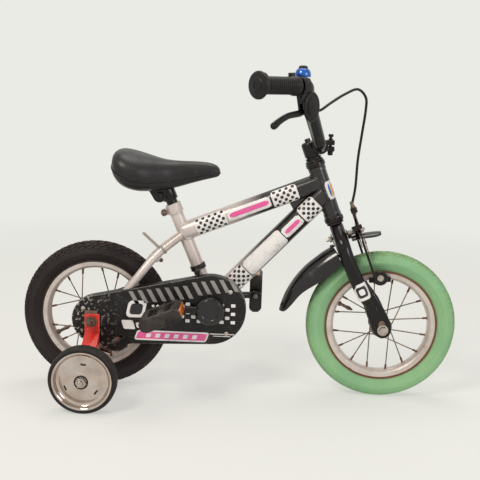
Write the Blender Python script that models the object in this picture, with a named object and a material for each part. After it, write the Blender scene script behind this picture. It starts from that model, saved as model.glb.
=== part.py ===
"""A 12 inch kids bike with training wheels, a full chain guard and a front side-pull brake.

Sizes are in millimetres and degrees, and MM turns them into Blender's metres.
X points forward, Y to the rider's left and Z up. The origin is on the ground, midway
between the axles. side = -1 is the rider's right, the chain side, and side = +1 the left.
"""
import math

import bmesh
import bpy
from mathutils import Matrix, Vector

MM = 0.001

# Wheels
WHEELBASE = 568.0
TYRE_RADIUS = 148.0
TYRE_SECTION = 46.0
RIM_RADIUS = 109.0
RIM_BED_RADIUS = 93.0
RIM_WIDTH = 27.0
RIM_WALL = 2.0
BEAD_RADIUS = 101.5
SPOKES = 16
SPOKE_DIAMETER = 2.2
HUB_SHELL_RADIUS = 11.0
HUB_FLANGE_RADIUS = 20.0
HUB_FLANGE_SPAN = 44.0
HUB_FLANGE_THICKNESS = 2.6
COASTER_SHELL_RADIUS = 24.0
COASTER_FLANGE_RADIUS = 31.0
VALVE_DIAMETER = 7.0
VALVE_LENGTH = 32.0
WHEEL_STEPS = 24
SMALL_WHEEL_STEPS = 20
AXLE_DIAMETER = 9.5
NUT_ACROSS_FLATS = 15.0

# Clearances of touching and of turning or sliding pieces
SEAT_GAP = 0.3
RUNNING_GAP = 0.5

# Rear end and bottom bracket
REAR_WIDTH = 92.0
FRONT_WIDTH = 78.0
DROPOUT_THICKNESS = 4.5
BB_HEIGHT = 179.0
BB_SHELL_RADIUS = 27.0
BB_SHELL_WALL = 2.5
BB_SHELL_WIDTH = 58.0
BB_CUP_FLANGE = 3.0

# Chain drive
CHAIN_PITCH = 12.7
CHAIN_LINKS = 60
CHAINRING_TEETH = 28
SPROCKET_TEETH = 18
CHAINLINE = 36.0
SPROCKET_THICKNESS = 2.6
ROLLER_DIAMETER = 7.8
CHAIN_PLATE_HEIGHT = 8.2
CHAIN_PLATE_THICKNESS = 1.1
CHAIN_INNER_WIDTH = 3.4

# Frame tubes
SEAT_ANGLE = 67.0
SEAT_TUBE_DIAMETER = 25.4
SEAT_TUBE_LENGTH = 211.0
TOP_TUBE_DIAMETER = 37.0
TOP_TUBE_BELOW_COLLAR = 57.0
DOWN_TUBE_DIAMETER = 42.0
HEAD_ANGLE = 68.8
HEAD_TUBE_DIAMETER = 33.0
HEAD_TUBE_LENGTH = 101.0
HEAD_TUBE_BORE = 28.0
HEAD_BASE_BEHIND_AXLE = 104.6
HEAD_BASE_HEIGHT = 362.7
TOP_TUBE_UP_HEAD = 71.0
DOWN_TUBE_UP_HEAD = 48.0
SEATSTAY_DIAMETER = 16.0
CHAINSTAY_DIAMETER = 14.0
CUP_HEIGHT = 11.0
CUP_DIAMETER = 38.0
LOCKNUT_HEIGHT = 9.3

# Fork
FORK_BLADE_DIAMETER = 27.0
FORK_BLADE_SPREAD = 84.0
STEERER_DIAMETER = 25.4
STEERER_BORE = 22.8
CROWN_DROP = 43.0

# Saddle and post
POST_DIAMETER = 22.2
POST_LENGTH = 150.0
POST_SHOWING = 24.0
SADDLE_LENGTH = 211.0
SADDLE_WIDTH = 142.0
SADDLE_BOLT_UP = 27.2
SADDLE_BOLT_BACK = 15.05
SADDLE_WALL = 14.0

# Handlebar
BAR_DIAMETER = 22.2
BAR_WIDTH = 470.0
BAR_RISE = 113.6
BAR_BACKSWEEP = 122.2
GRIP_LENGTH = 92.0
GRIP_DIAMETER = 29.0
GRIP_FLANGE_DIAMETER = 47.0
GRIP_SWEEP = 47.0
GRIP_RIBS = 3

# Cranks and pedals
CRANK_LENGTH = 85.0
CRANK_BAR_DIAMETER = 15.0
CRANK_ANGLE = -3.0
PEDAL_LENGTH = 80.0
PEDAL_WIDTH = 72.0
PEDAL_THICKNESS = 26.0
PEDAL_INNER_FACE = 94.0
RIGHT_PEDAL_ANGLE = 22.0
LEFT_PEDAL_ANGLE = 90.0

# Chain guard
GUARD_FACE = 59.5
GUARD_WALL = 2.0
GUARD_DEPTH = 20.0
GUARD_FRONT_RADIUS = 69.0
GUARD_REAR_RADIUS = 49.0

# Training wheels
TRAINING_RADIUS = 64.0
TRAINING_WIDTH = 28.0
TRAINING_DISC_RADIUS = 56.5
TRAINING_OUTER_FACE = 173.0
TRAINING_FORWARD = 5.0
BRACKET_STEEL = 3.0
BRACKET_WIDTH = 29.0

# Smaller fittings
CRANK_BOSS_RADIUS = 14.0
KEYED_PLATE = 2.5
GUARD_BULGE_RADIUS = 32
AXLE_COLLAR_RADIUS = 12.0
COASTER_ARM_AT = 40.3
COASTER_ARM_REACH = 104.0
COASTER_ARM_DROP = 24.0
WHEEL_BOLT_DIAMETER = 11.0
CRANK_ROOT = 67.0
CRANK_EYE = 80.0
CAP_FACE = 78.5
PEDAL_SPINDLE_DIAMETER = 11.0
BRAKE_BOLT_DIAMETER = 6.0
LEVER_REACH = 106.0
LEVER_RING_RADIUS = 16.0
LEVER_HALF_WIDTH = 8.5
LEVER_PIVOT_PLACE = (-12.0, -38.0)
LEVER_PIN_DIAMETER = 5.0
BELL_PLACE = (-44.2, -136.0)
BELL_ABOVE_BAR = 10.0
CABLE_DIAMETER = 5.2
CABLE_STOP = (41.0, 45.0, -28.0)
WIRE_ANCHOR_UP = 11.0
CABLE_FROM_LEVER = ((6.1, -3.8, -7.5), (27.6, 16.2, 6.5), (51.9, 41.2, 20.8), (77.0, 66.2, 30.0),
                    (94.0, 81.2, 15.8))
CABLE_TO_STOP = ((13.5, -20.0, 179.9), (9.6, -12.0, 133.1), (5.5, -6.0, 85.5), (4.4, -1.5, 34.4))
ARM_WIDTH = 10.0
ARM_THICKNESS = 5.0
LEFT_ARM_AHEAD = 30.0
PAD_STUD_AHEAD = 48.0
PAD_CLEARANCE = 2.5
PAD_BELOW_RIM_EDGE = 13.5
PAD_STUD_ABOVE_PAD = 5.0
CLAMP_DRUM_WIDTH = 34.0

# Sizes and places that follow from the values above
REAR_AXLE = Vector((-WHEELBASE / 2, 0, TYRE_RADIUS))
FRONT_AXLE = Vector((WHEELBASE / 2, 0, TYRE_RADIUS))
ACROSS = Vector((0, 1, 0))


def sloped(angle):
    """A direction in the side plane, angle degrees up from straight back."""
    return Vector((-math.cos(math.radians(angle)), 0, math.sin(math.radians(angle))))


STEER_UP = sloped(HEAD_ANGLE)
STEER_FORWARD = Vector((STEER_UP.z, 0, -STEER_UP.x))
HEAD_BASE = Vector((WHEELBASE / 2 - HEAD_BASE_BEHIND_AXLE, 0, HEAD_BASE_HEIGHT))
HEAD_TOP = HEAD_BASE + STEER_UP * HEAD_TUBE_LENGTH
SEAT_UP = sloped(SEAT_ANGLE)


def chain_geometry():
    """Centre distance and wrap lean for which the links close round both sprockets."""
    front = CHAINRING_TEETH * CHAIN_PITCH / math.tau
    rear = SPROCKET_TEETH * CHAIN_PITCH / math.tau
    length = CHAIN_LINKS * CHAIN_PITCH
    distance = (length - math.pi * (front + rear)) / 2
    for _ in range(30):
        lean = math.asin((front - rear) / distance)
        wraps = front * (math.pi + 2 * lean) + rear * (math.pi - 2 * lean)
        distance = math.hypot((length - wraps) / 2, front - rear)
    return front, rear, distance, lean


CHAINRING_PITCH_RADIUS, SPROCKET_PITCH_RADIUS, CENTRE_DISTANCE, CHAIN_LEAN = chain_geometry()
BB = Vector((REAR_AXLE.x + math.sqrt(CENTRE_DISTANCE ** 2 - (BB_HEIGHT - TYRE_RADIUS) ** 2), 0, BB_HEIGHT))
SEAT_TUBE_END = BB + SEAT_UP * SEAT_TUBE_LENGTH


# Mesh helpers

def remove_everything():
    for item in list(bpy.data.objects):
        bpy.data.objects.remove(item)


def paint(name, colour, roughness, metallic=0.0):
    """A plain Principled material in the colour of the piece."""
    material = bpy.data.materials.new(name)
    material.use_nodes = True
    shader = material.node_tree.nodes["Principled BSDF"]
    shader.inputs["Base Color"].default_value = (*colour, 1.0)
    shader.inputs["Roughness"].default_value = roughness
    shader.inputs["Metallic"].default_value = metallic
    return material


def as_object(name, bm):
    """Close a bmesh in millimetres into an object in metres."""
    bmesh.ops.remove_doubles(bm, verts=bm.verts, dist=0.001)
    bmesh.ops.recalc_face_normals(bm, faces=bm.faces)
    bmesh.ops.scale(bm, vec=(MM, MM, MM), verts=bm.verts)
    mesh = bpy.data.meshes.new(name)
    bm.to_mesh(mesh)
    bm.free()
    item = bpy.data.objects.new(name, mesh)
    bpy.context.collection.objects.link(item)
    return item


def facing(direction, start=(0, 0, 0)):
    """A matrix that carries local Z along direction and the origin to start."""
    turn = Vector(direction).normalized().to_track_quat("Z", "Y").to_matrix().to_4x4()
    return Matrix.Translation(Vector(start)) @ turn


def across(start, side=1):
    """A matrix with local Z along the rider's left or right and local X forward."""
    columns = Matrix(((1, 0, 0), (0, 0, side), (0, -side, 0))).to_4x4()
    return Matrix.Translation(Vector(start)) @ columns


def turned(name, profile, place, steps=24, start=0.0):
    """Spin (radius, along) points round local Z. A profile off the axis is closed on itself."""
    bm = bmesh.new()
    verts = [bm.verts.new((radius, 0, along)) for radius, along in profile]
    edges = [bm.edges.new(pair) for pair in zip(verts, verts[1:])]
    if profile[0][0] > 0 or profile[-1][0] > 0:
        edges.append(bm.edges.new((verts[-1], verts[0])))
    bmesh.ops.rotate(bm, verts=bm.verts, matrix=Matrix.Rotation(math.radians(start), 3, "Z"))
    bmesh.ops.spin(bm, geom=verts + edges, cent=(0, 0, 0), axis=(0, 0, 1), angle=math.tau,
                   steps=steps, use_merge=True)
    bmesh.ops.transform(bm, matrix=place, verts=bm.verts)
    return as_object(name, bm)


def rod(name, start, end, diameter, sides=16, end_diameter=None):
    """A straight round bar, or a cone, from start to end."""
    start, end = Vector(start), Vector(end)
    bm = bmesh.new()
    final = diameter if end_diameter is None else end_diameter
    place = facing(end - start, (start + end) / 2)
    bmesh.ops.create_cone(bm, cap_ends=True, segments=sides, radius1=diameter / 2, radius2=final / 2,
                          depth=(end - start).length, matrix=place)
    return as_object(name, bm)


def drill(name, start, end, diameter, sides=16):
    """A round cutter whose flats, not its corners, lie on the diameter."""
    return rod(name, start, end, diameter / math.cos(math.pi / sides), sides)


def plate(name, outline, thickness, place):
    """Extrude a flat outline of (u, v) points by thickness along local Z."""
    bm = bmesh.new()
    face = bm.faces.new([bm.verts.new((u, v, 0)) for u, v in outline])
    top = bmesh.ops.extrude_face_region(bm, geom=[face])["geom"]
    rising = [item for item in top if isinstance(item, bmesh.types.BMVert)]
    bmesh.ops.translate(bm, verts=rising, vec=(0, 0, thickness))
    bmesh.ops.transform(bm, matrix=place, verts=bm.verts)
    return as_object(name, bm)


def block(name, size, place):
    """A box of the given size, centred on the matrix."""
    bm = bmesh.new()
    bmesh.ops.create_cube(bm, size=1.0, matrix=place @ Matrix.Diagonal((*size, 1)))
    return as_object(name, bm)


def pipe(name, points, diameter, resolution=3, radii=None):
    """A round bar along a smooth route of points, with filled ends."""
    curve = bpy.data.curves.new(name, "CURVE")
    curve.dimensions = "3D"
    curve.bevel_depth = diameter / 2 * MM
    curve.bevel_resolution = resolution
    curve.use_fill_caps = True
    spline = curve.splines.new("POLY")
    spline.points.add(len(points) - 1)
    for index, point in enumerate(points):
        spline.points[index].co = (*(Vector(point) * MM), 1)
        spline.points[index].radius = 1.0 if radii is None else radii[index]
    guide = bpy.data.objects.new(name + "_route", curve)
    bpy.context.collection.objects.link(guide)
    bm = bmesh.new()
    bm.from_mesh(bpy.data.meshes.new_from_object(guide.evaluated_get(bpy.context.evaluated_depsgraph_get())))
    bpy.data.objects.remove(guide)
    bmesh.ops.scale(bm, vec=(1 / MM, 1 / MM, 1 / MM), verts=bm.verts)
    return as_object(name, bm)


def smooth_route(points, per_span=4):
    """Points of a Catmull-Rom curve through the given points."""
    nodes = [Vector(point) for point in points]
    nodes = [2 * nodes[0] - nodes[1]] + nodes + [2 * nodes[-1] - nodes[-2]]
    route = []
    for a, b, c, d in zip(nodes, nodes[1:], nodes[2:], nodes[3:]):
        for step in range(per_span):
            t = step / per_span
            route.append(0.5 * ((2 * b) + (c - a) * t + (2 * a - 5 * b + 4 * c - d) * t ** 2
                                + (3 * b - 3 * c + d - a) * t ** 3))
    route.append(nodes[-2])
    return route


def combine(target, tools, operation):
    """Apply one Boolean for each tool to the target, and delete the tools."""
    for tool in tools:
        step = target.modifiers.new(operation.title(), "BOOLEAN")
        step.operation = operation
        step.object = tool
    graph = bpy.context.evaluated_depsgraph_get()
    graph.update()
    mesh = bpy.data.meshes.new_from_object(target.evaluated_get(graph))
    target.modifiers.clear()
    target.data = mesh
    for tool in tools:
        bpy.data.objects.remove(tool)
    return target


def fuse(target, *tools):
    return combine(target, tools, "UNION")


def cut(target, *tools):
    return combine(target, tools, "DIFFERENCE")


def common(target, *tools):
    return combine(target, tools, "INTERSECT")


def joint_empty(name, place):
    """The empty that marks a joint's axis, which carries the pieces that move on it."""
    empty = bpy.data.objects.new(name, None)
    empty.empty_display_size = 0.03
    empty.location = Vector(place) * MM
    bpy.context.collection.objects.link(empty)
    return empty


def finish(item, name, material, carrier=None):
    """Name the piece, give it its material, and hang it on its joint's empty."""
    item.name = name
    item.data.name = name
    item.data.materials.clear()
    item.data.materials.append(material)
    item.data.shade_smooth()
    item.data.set_sharp_from_angle(angle=math.radians(35))
    if carrier is not None:
        item.data.transform(Matrix.Translation(-carrier.location))
        item.parent = carrier
    return item


def arc(centre, radius, start, end, steps):
    """(u, v) points round a centre from start to end degrees."""
    angles = [math.radians(start + (end - start) * i / steps) for i in range(steps + 1)]
    return [(centre[0] + radius * math.cos(a), centre[1] + radius * math.sin(a)) for a in angles]


def hexagon(across_flats):
    return arc((0, 0), across_flats / math.sqrt(3), 0, 300, 5)


# Materials

def materials():
    return {
        "silver_paint": paint("silver_paint", (0.50, 0.45, 0.43), 0.35, 0.6),
        "black_paint": paint("black_paint", (0.015, 0.014, 0.015), 0.2),
        "black_plastic": paint("black_plastic", (0.02, 0.019, 0.019), 0.45),
        "black_vinyl": paint("black_vinyl", (0.025, 0.022, 0.022), 0.4),
        "black_tyre": paint("black_tyre", (0.045, 0.038, 0.036), 0.8),
        "green_tyre": paint("green_tyre", (0.20, 0.50, 0.27), 0.75),
        "rim_steel": paint("rim_steel", (0.60, 0.55, 0.52), 0.35, 0.8),
        "spoke_steel": paint("spoke_steel", (0.55, 0.50, 0.46), 0.4, 0.8),
        "chrome": paint("chrome", (0.85, 0.84, 0.82), 0.08, 1.0),
        "zinc": paint("zinc", (0.55, 0.50, 0.45), 0.4, 0.9),
        "chain_steel": paint("chain_steel", (0.22, 0.19, 0.17), 0.45, 0.9),
        "red_paint": paint("red_paint", (0.85, 0.04, 0.02), 0.3),
        "blue_metal": paint("blue_metal", (0.02, 0.10, 0.55), 0.2, 0.8),
        "grey_plastic": paint("grey_plastic", (0.60, 0.58, 0.55), 0.5),
    }


# Wheels

def tyre(name, axle, material, carrier):
    """A round casing whose beads sit between the rim's flanges."""
    centre = TYRE_RADIUS - TYRE_SECTION / 2
    bead_side = RIM_WIDTH / 2 - RIM_WALL - SEAT_GAP
    profile = arc((centre, 0), TYRE_SECTION / 2, -126, 126, 8)
    profile += [(RIM_RADIUS + 1.2, bead_side), (BEAD_RADIUS + SEAT_GAP, bead_side),
                (BEAD_RADIUS + SEAT_GAP, -bead_side), (RIM_RADIUS + 1.2, -bead_side)]
    finish(turned(name, profile, across(axle), WHEEL_STEPS), name, material, carrier)


def rim(name, axle, material, carrier, valve_angle):
    """A flanged steel channel with the tyre's valve standing through its bed."""
    half = RIM_WIDTH / 2
    inner = half - RIM_WALL
    profile = [(RIM_RADIUS, -half), (RIM_RADIUS, -inner), (BEAD_RADIUS, -inner), (BEAD_RADIUS, inner), (RIM_RADIUS, inner),
               (RIM_RADIUS, half), (RIM_BED_RADIUS + 3, half), (RIM_BED_RADIUS, half - 5),
               (RIM_BED_RADIUS, 5 - half), (RIM_BED_RADIUS + 3, -half)]
    ring = turned(name, profile, across(axle), WHEEL_STEPS)
    out = Vector((math.cos(math.radians(valve_angle)), 0, math.sin(math.radians(valve_angle))))
    valve = rod("valve", axle + out * (RIM_BED_RADIUS + 2), axle + out * (RIM_BED_RADIUS - VALVE_LENGTH),
                VALVE_DIAMETER, 6, VALVE_DIAMETER * 0.7)
    finish(fuse(ring, valve), name, material, carrier)


def laced_hub(name, axle, shell, hole_circle, flange_span, phase, material, carrier):
    """A hub shell with its crossing spokes, eight to a flange."""
    lace = math.radians(50)
    body = turned(name, shell, across(axle), 12)
    spokes = []
    for index in range(SPOKES):
        angle = math.radians(phase) + index * math.tau / SPOKES
        flange = (-1 if index % 2 == 0 else 1) * flange_span / 2
        hole = angle + (lace if index % 4 < 2 else -lace)
        start = axle + Vector((hole_circle * math.cos(hole), flange, hole_circle * math.sin(hole)))
        reach = RIM_BED_RADIUS * math.cos(math.pi / WHEEL_STEPS) - SEAT_GAP - 0.25
        offset = 3.0 if flange > 0 else -3.0
        end = axle + Vector((reach * math.cos(angle), offset, reach * math.sin(angle)))
        spokes.append(rod("spoke", start, end, SPOKE_DIAMETER * 1.2, 3))
    finish(fuse(body, *spokes), name, material, carrier)


def flanged_shell(shell_radius, flange_radius, span, left_end, right_end, bore):
    """(radius, along) outline of a hub shell with two spoke flanges."""
    half = span / 2
    thick = HUB_FLANGE_THICKNESS / 2
    return [(bore, -right_end), (shell_radius * 0.9, -right_end), (shell_radius, -half - thick),
            (flange_radius, -half - thick), (flange_radius, -half + thick), (shell_radius, -half + thick),
            (shell_radius, half - thick), (flange_radius, half - thick), (flange_radius, half + thick),
            (shell_radius, half + thick), (shell_radius * 0.9, left_end), (bore, left_end)]


def front_wheel(paints, carrier):
    tyre("front_tyre", FRONT_AXLE, paints["green_tyre"], carrier)
    rim("front_rim", FRONT_AXLE, paints["rim_steel"], carrier, valve_angle=155)
    end = HUB_FLANGE_SPAN / 2 + 4
    shell = flanged_shell(HUB_SHELL_RADIUS, HUB_FLANGE_RADIUS + 1, HUB_FLANGE_SPAN, end, end,
                          AXLE_DIAMETER / 2 + RUNNING_GAP)
    laced_hub("front_hub", FRONT_AXLE, shell, HUB_FLANGE_RADIUS - 2, HUB_FLANGE_SPAN, 10,
              paints["spoke_steel"], carrier)


def rear_wheel(paints, carrier):
    tyre("rear_tyre", REAR_AXLE, paints["black_tyre"], carrier)
    rim("rear_rim", REAR_AXLE, paints["rim_steel"], carrier, valve_angle=209)
    shell = flanged_shell(COASTER_SHELL_RADIUS, COASTER_FLANGE_RADIUS + 1, HUB_FLANGE_SPAN,
                          COASTER_LEFT_END, COASTER_RIGHT_END, AXLE_DIAMETER / 2 + RUNNING_GAP)
    laced_hub("rear_hub", REAR_AXLE, shell, COASTER_FLANGE_RADIUS - 2, HUB_FLANGE_SPAN, 17.6,
              paints["spoke_steel"], carrier)


COASTER_RIGHT_END = HUB_FLANGE_SPAN / 2 + 5
COASTER_LEFT_END = HUB_FLANGE_SPAN / 2 + 9


# Sprockets and chain

def toothed(name, centre, teeth, pitch_radius, phase, thickness):
    """A sprocket plate: each tooth rises from two roller seats, cut to the rollers' size."""
    root = pitch_radius - ROLLER_DIAMETER / 2 - 0.15
    tip = pitch_radius + ROLLER_DIAMETER * 0.42
    outline = []
    for index in range(teeth):
        seat = phase + index * math.tau / teeth
        half_seat = 0.22 * math.tau / teeth
        for angle, radius in ((seat - half_seat, root), (seat + half_seat, root), (seat + math.pi / teeth, tip)):
            outline.append((radius * math.cos(angle), radius * math.sin(angle)))
    place = across(centre - ACROSS * (CHAINLINE - thickness / 2), -1)
    return plate(name, outline, thickness, place)


def chain_links():
    """Pin places and run directions along the closed chain, one for each link."""
    run = math.sqrt(CENTRE_DISTANCE ** 2 - (CHAINRING_PITCH_RADIUS - SPROCKET_PITCH_RADIUS) ** 2)
    slope = math.atan2(BB.z - REAR_AXLE.z, BB.x - REAR_AXLE.x)
    top = slope + math.pi / 2 + CHAIN_LEAN
    front_wrap = CHAINRING_PITCH_RADIUS * (math.pi + 2 * CHAIN_LEAN)
    rear_wrap = SPROCKET_PITCH_RADIUS * (math.pi - 2 * CHAIN_LEAN)
    pins = []
    for index in range(CHAIN_LINKS):
        s = index * CHAIN_PITCH
        if s < front_wrap:
            angle = top - s / CHAINRING_PITCH_RADIUS
            point = BB + CHAINRING_PITCH_RADIUS * Vector((math.cos(angle), 0, math.sin(angle)))
        elif s < front_wrap + run:
            angle = top - front_wrap / CHAINRING_PITCH_RADIUS
            radial = Vector((math.cos(angle), 0, math.sin(angle)))
            along = Vector((radial.z, 0, -radial.x))
            point = BB + CHAINRING_PITCH_RADIUS * radial + along * (s - front_wrap)
        elif s < front_wrap + run + rear_wrap:
            angle = top - front_wrap / CHAINRING_PITCH_RADIUS - (s - front_wrap - run) / SPROCKET_PITCH_RADIUS
            point = REAR_AXLE + SPROCKET_PITCH_RADIUS * Vector((math.cos(angle), 0, math.sin(angle)))
        else:
            radial = Vector((math.cos(top), 0, math.sin(top)))
            along = Vector((radial.z, 0, -radial.x))
            point = REAR_AXLE + SPROCKET_PITCH_RADIUS * radial + along * (s - front_wrap - run - rear_wrap)
        pins.append(point - ACROSS * CHAINLINE)
    return pins, top, front_wrap + run


def chain_band_stations():
    """Places along the middle of the side plates: close together on the sprockets, none on the straight runs."""
    _, top, _ = chain_links()
    slope = top - CHAIN_LEAN - math.pi / 2
    stations = []
    for centre, radius, wrap, steps, turn in ((BB, CHAINRING_PITCH_RADIUS, math.pi + 2 * CHAIN_LEAN, 14, top),
                                              (REAR_AXLE, SPROCKET_PITCH_RADIUS, math.pi - 2 * CHAIN_LEAN, 10,
                                               slope - math.pi / 2 - CHAIN_LEAN)):
        for step in range(steps + 1):
            angle = turn - wrap * step / steps
            stations.append((centre, radius, Vector((math.cos(angle), 0, math.sin(angle)))))
    return stations


def chain(material):
    """A roller chain: two rows of side plates, and a roller at each pin between them."""
    bm = bmesh.new()
    half_height = CHAIN_PLATE_HEIGHT / 2
    for side in (-1, 1):
        near = side * CHAIN_INNER_WIDTH / 2 - CHAINLINE
        far = side * (CHAIN_INNER_WIDTH / 2 + CHAIN_PLATE_THICKNESS) - CHAINLINE
        rings = [[bm.verts.new(centre + out * (radius + up * half_height) + ACROSS * lateral)
                  for up, lateral in ((1, near), (1, far), (-1, far), (-1, near))]
                 for centre, radius, out in chain_band_stations()]
        for ring, following in zip(rings, rings[1:] + rings[:1]):
            for a, b in ((0, 1), (1, 2), (2, 3), (3, 0)):
                bm.faces.new((ring[a], ring[b], following[b], following[a]))
    plates = as_object("chain", bm)
    bm = bmesh.new()
    width = CHAIN_INNER_WIDTH + CHAIN_PLATE_THICKNESS
    for pin in chain_links()[0]:
        bmesh.ops.create_cone(bm, cap_ends=True, segments=3, radius1=ROLLER_DIAMETER * 0.45,
                              radius2=ROLLER_DIAMETER * 0.45, depth=width, matrix=across(pin))
    finish(fuse(plates, as_object("rollers", bm)), "chain", material)


def chainring(paints, carrier):
    """The front sprocket: a toothed plate with five windows round the crank's boss."""
    _, top, _ = chain_links()
    ring = toothed("chainring", BB, CHAINRING_TEETH, CHAINRING_PITCH_RADIUS, top, SPROCKET_THICKNESS)
    windows = []
    for index in range(5):
        middle = index * 72 + 20
        outline = arc((0, 0), CHAINRING_PITCH_RADIUS - 13, middle - 24, middle + 24, 3)
        outline += arc((0, 0), CRANK_BOSS_RADIUS + 6, middle + 20, middle - 20, 2)
        windows.append(plate("window", outline, 10, across(BB - ACROSS * (CHAINLINE - 5), -1)))
    spindle = drill("spindle_hole", BB - ACROSS * 20, BB - ACROSS * 50, CRANK_BAR_DIAMETER + 2 * SEAT_GAP, 20)
    finish(cut(ring, spindle, *windows), "chainring", paints["zinc"], carrier)


def rear_sprocket(paints, carrier):
    """The rear sprocket on the driver that screws into the hub."""
    _, top, before_sprocket = chain_links()
    entered = math.ceil(before_sprocket / CHAIN_PITCH) * CHAIN_PITCH - before_sprocket
    front_wrap = CHAINRING_PITCH_RADIUS * (math.pi + 2 * CHAIN_LEAN)
    phase = top - front_wrap / CHAINRING_PITCH_RADIUS - entered / SPROCKET_PITCH_RADIUS
    plate_part = toothed("rear_sprocket", REAR_AXLE, SPROCKET_TEETH, SPROCKET_PITCH_RADIUS, phase,
                         SPROCKET_THICKNESS)
    driver = rod("driver", REAR_AXLE - ACROSS * (COASTER_RIGHT_END + RUNNING_GAP),
                 REAR_AXLE - ACROSS * (CHAINLINE + 3.5), 34, 20)
    bore = drill("bore", REAR_AXLE, REAR_AXLE - ACROSS * 60, AXLE_DIAMETER + 2 * RUNNING_GAP, 20)
    finish(cut(fuse(plate_part, driver), bore), "rear_sprocket", paints["zinc"], carrier)


# Frame

def main_frame(paints):
    """The welded tubes, with their bores, dropout slots and the gusset at the head."""
    dropout_mid = REAR_WIDTH / 2 + DROPOUT_THICKNESS / 2
    head = rod("main_frame", HEAD_BASE, HEAD_TOP, HEAD_TUBE_DIAMETER, 16)
    top_start = BB + SEAT_UP * (SEAT_TUBE_LENGTH - TOP_TUBE_BELOW_COLLAR)
    top_end = HEAD_BASE + STEER_UP * TOP_TUBE_UP_HEAD
    down_end = HEAD_BASE + STEER_UP * DOWN_TUBE_UP_HEAD
    solids = [rod("top_tube", top_start, top_end, TOP_TUBE_DIAMETER, 14),
              rod("down_tube", BB, down_end, DOWN_TUBE_DIAMETER, 14),
              rod("seat_tube", BB, SEAT_TUBE_END, SEAT_TUBE_DIAMETER, 14),
              rod("bb_shell", BB - ACROSS * BB_SHELL_WIDTH / 2, BB + ACROSS * BB_SHELL_WIDTH / 2,
                  BB_SHELL_RADIUS * 2, 18)]
    crotch = [(top_end.x - 62, top_end.z - 40), (top_end.x - 8, top_end.z - 14), (down_end.x, down_end.z - 10),
              (down_end.x - 50, down_end.z - 52)]
    solids.append(plate("gusset", crotch, 8, across((0, 4, 0), -1)))
    stay_top = BB + SEAT_UP * (SEAT_TUBE_LENGTH - TOP_TUBE_BELOW_COLLAR - 3)
    for side in (-1, 1):
        lateral = ACROSS * side * dropout_mid
        dropout = REAR_AXLE + lateral
        for route, diameter, foot in ((seatstay_route(side), SEATSTAY_DIAMETER, 0.85),
                                      (chainstay_route(side), CHAINSTAY_DIAMETER, 0.68)):
            taper = [1.0] * (len(route) - 3) + [1 - (1 - foot) * share for share in (0.4, 0.8, 1.0)]
            solids.append(pipe("stay", route, diameter, 2, taper))
        outline = arc((dropout.x, dropout.z), 15, 130, 300, 8)
        outline += [(dropout.x + 40, dropout.z - 6), (dropout.x + 44, dropout.z + 14),
                    (dropout.x + 34, dropout.z + 28)]
        start = dropout + ACROSS * DROPOUT_THICKNESS / 2
        solids.append(plate("dropout", outline, DROPOUT_THICKNESS, across((0, start.y, 0), -1)))
    bridge = stay_top.lerp(REAR_AXLE, 0.30)
    solids.append(rod("bridge", bridge - ACROSS * 24, bridge + ACROSS * 24, 12, 8))
    body = fuse(head, *solids)
    holes = [drill("steerer_bore", HEAD_BASE - STEER_UP * 5, HEAD_TOP + STEER_UP * 5, HEAD_TUBE_BORE, 16),
             drill("post_bore", BB + SEAT_UP * (BB_SHELL_RADIUS + 8), SEAT_TUBE_END + SEAT_UP * 5,
                 POST_DIAMETER + 2 * RUNNING_GAP, 16),
             drill("bb_bore", BB - ACROSS * BB_SHELL_WIDTH, BB + ACROSS * BB_SHELL_WIDTH,
                 2 * (BB_SHELL_RADIUS - BB_SHELL_WALL), 18)]
    slot = AXLE_DIAMETER + 2 * SEAT_GAP
    holes.append(drill("axle_slot_end", REAR_AXLE - ACROSS * 70, REAR_AXLE + ACROSS * 70, slot, 16))
    holes.append(block("axle_slot", (24, 140, slot * 0.98), Matrix.Translation(REAR_AXLE - Vector((12, 0, 0)))))
    holes.append(drill("bridge_hole", bridge_place() - STAY_NORMAL * 20, bridge_place() + STAY_NORMAL * 20, 5.6, 12))
    finish(cut(body, *holes), "main_frame", paints["silver_paint"])


def stay_top_point():
    return BB + SEAT_UP * (SEAT_TUBE_LENGTH - TOP_TUBE_BELOW_COLLAR - 3)


def bridge_place():
    return stay_top_point().lerp(REAR_AXLE, 0.30)


STAY_RUN = (REAR_AXLE - stay_top_point()).normalized()
STAY_NORMAL = Vector((STAY_RUN.z, 0, -STAY_RUN.x))


def headset(paints, steering):
    """Pressed cups in the head tube, and the locknut stack that turns with the steerer."""
    outer, bore = CUP_DIAMETER / 2, STEERER_DIAMETER / 2 + RUNNING_GAP
    sleeve = HEAD_TUBE_BORE / 2 - SEAT_GAP
    inside = 9
    lower = [(bore, -CUP_HEIGHT), (outer, -CUP_HEIGHT), (outer, -3), (HEAD_TUBE_DIAMETER / 2, -SEAT_GAP),
             (sleeve, -SEAT_GAP), (sleeve, inside), (bore, inside)]
    upper = [(radius, -along) for radius, along in lower]
    finish(turned("headset_lower_cup", lower, facing(STEER_UP, HEAD_BASE), 16), "headset_lower_cup",
           paints["black_paint"])
    finish(turned("headset_upper_cup", upper, facing(STEER_UP, HEAD_TOP), 16), "headset_upper_cup",
           paints["black_paint"])
    base = CUP_HEIGHT + SEAT_GAP
    nut = [(bore, base), (outer - 1, base), (outer - 1, base + 3), (outer - 3.5, base + 4),
           (outer - 3.5, base + LOCKNUT_HEIGHT), (bore, base + LOCKNUT_HEIGHT)]
    finish(turned("headset_locknut", nut, facing(STEER_UP, HEAD_TOP), 12), "headset_locknut",
           paints["black_paint"], steering)


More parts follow.
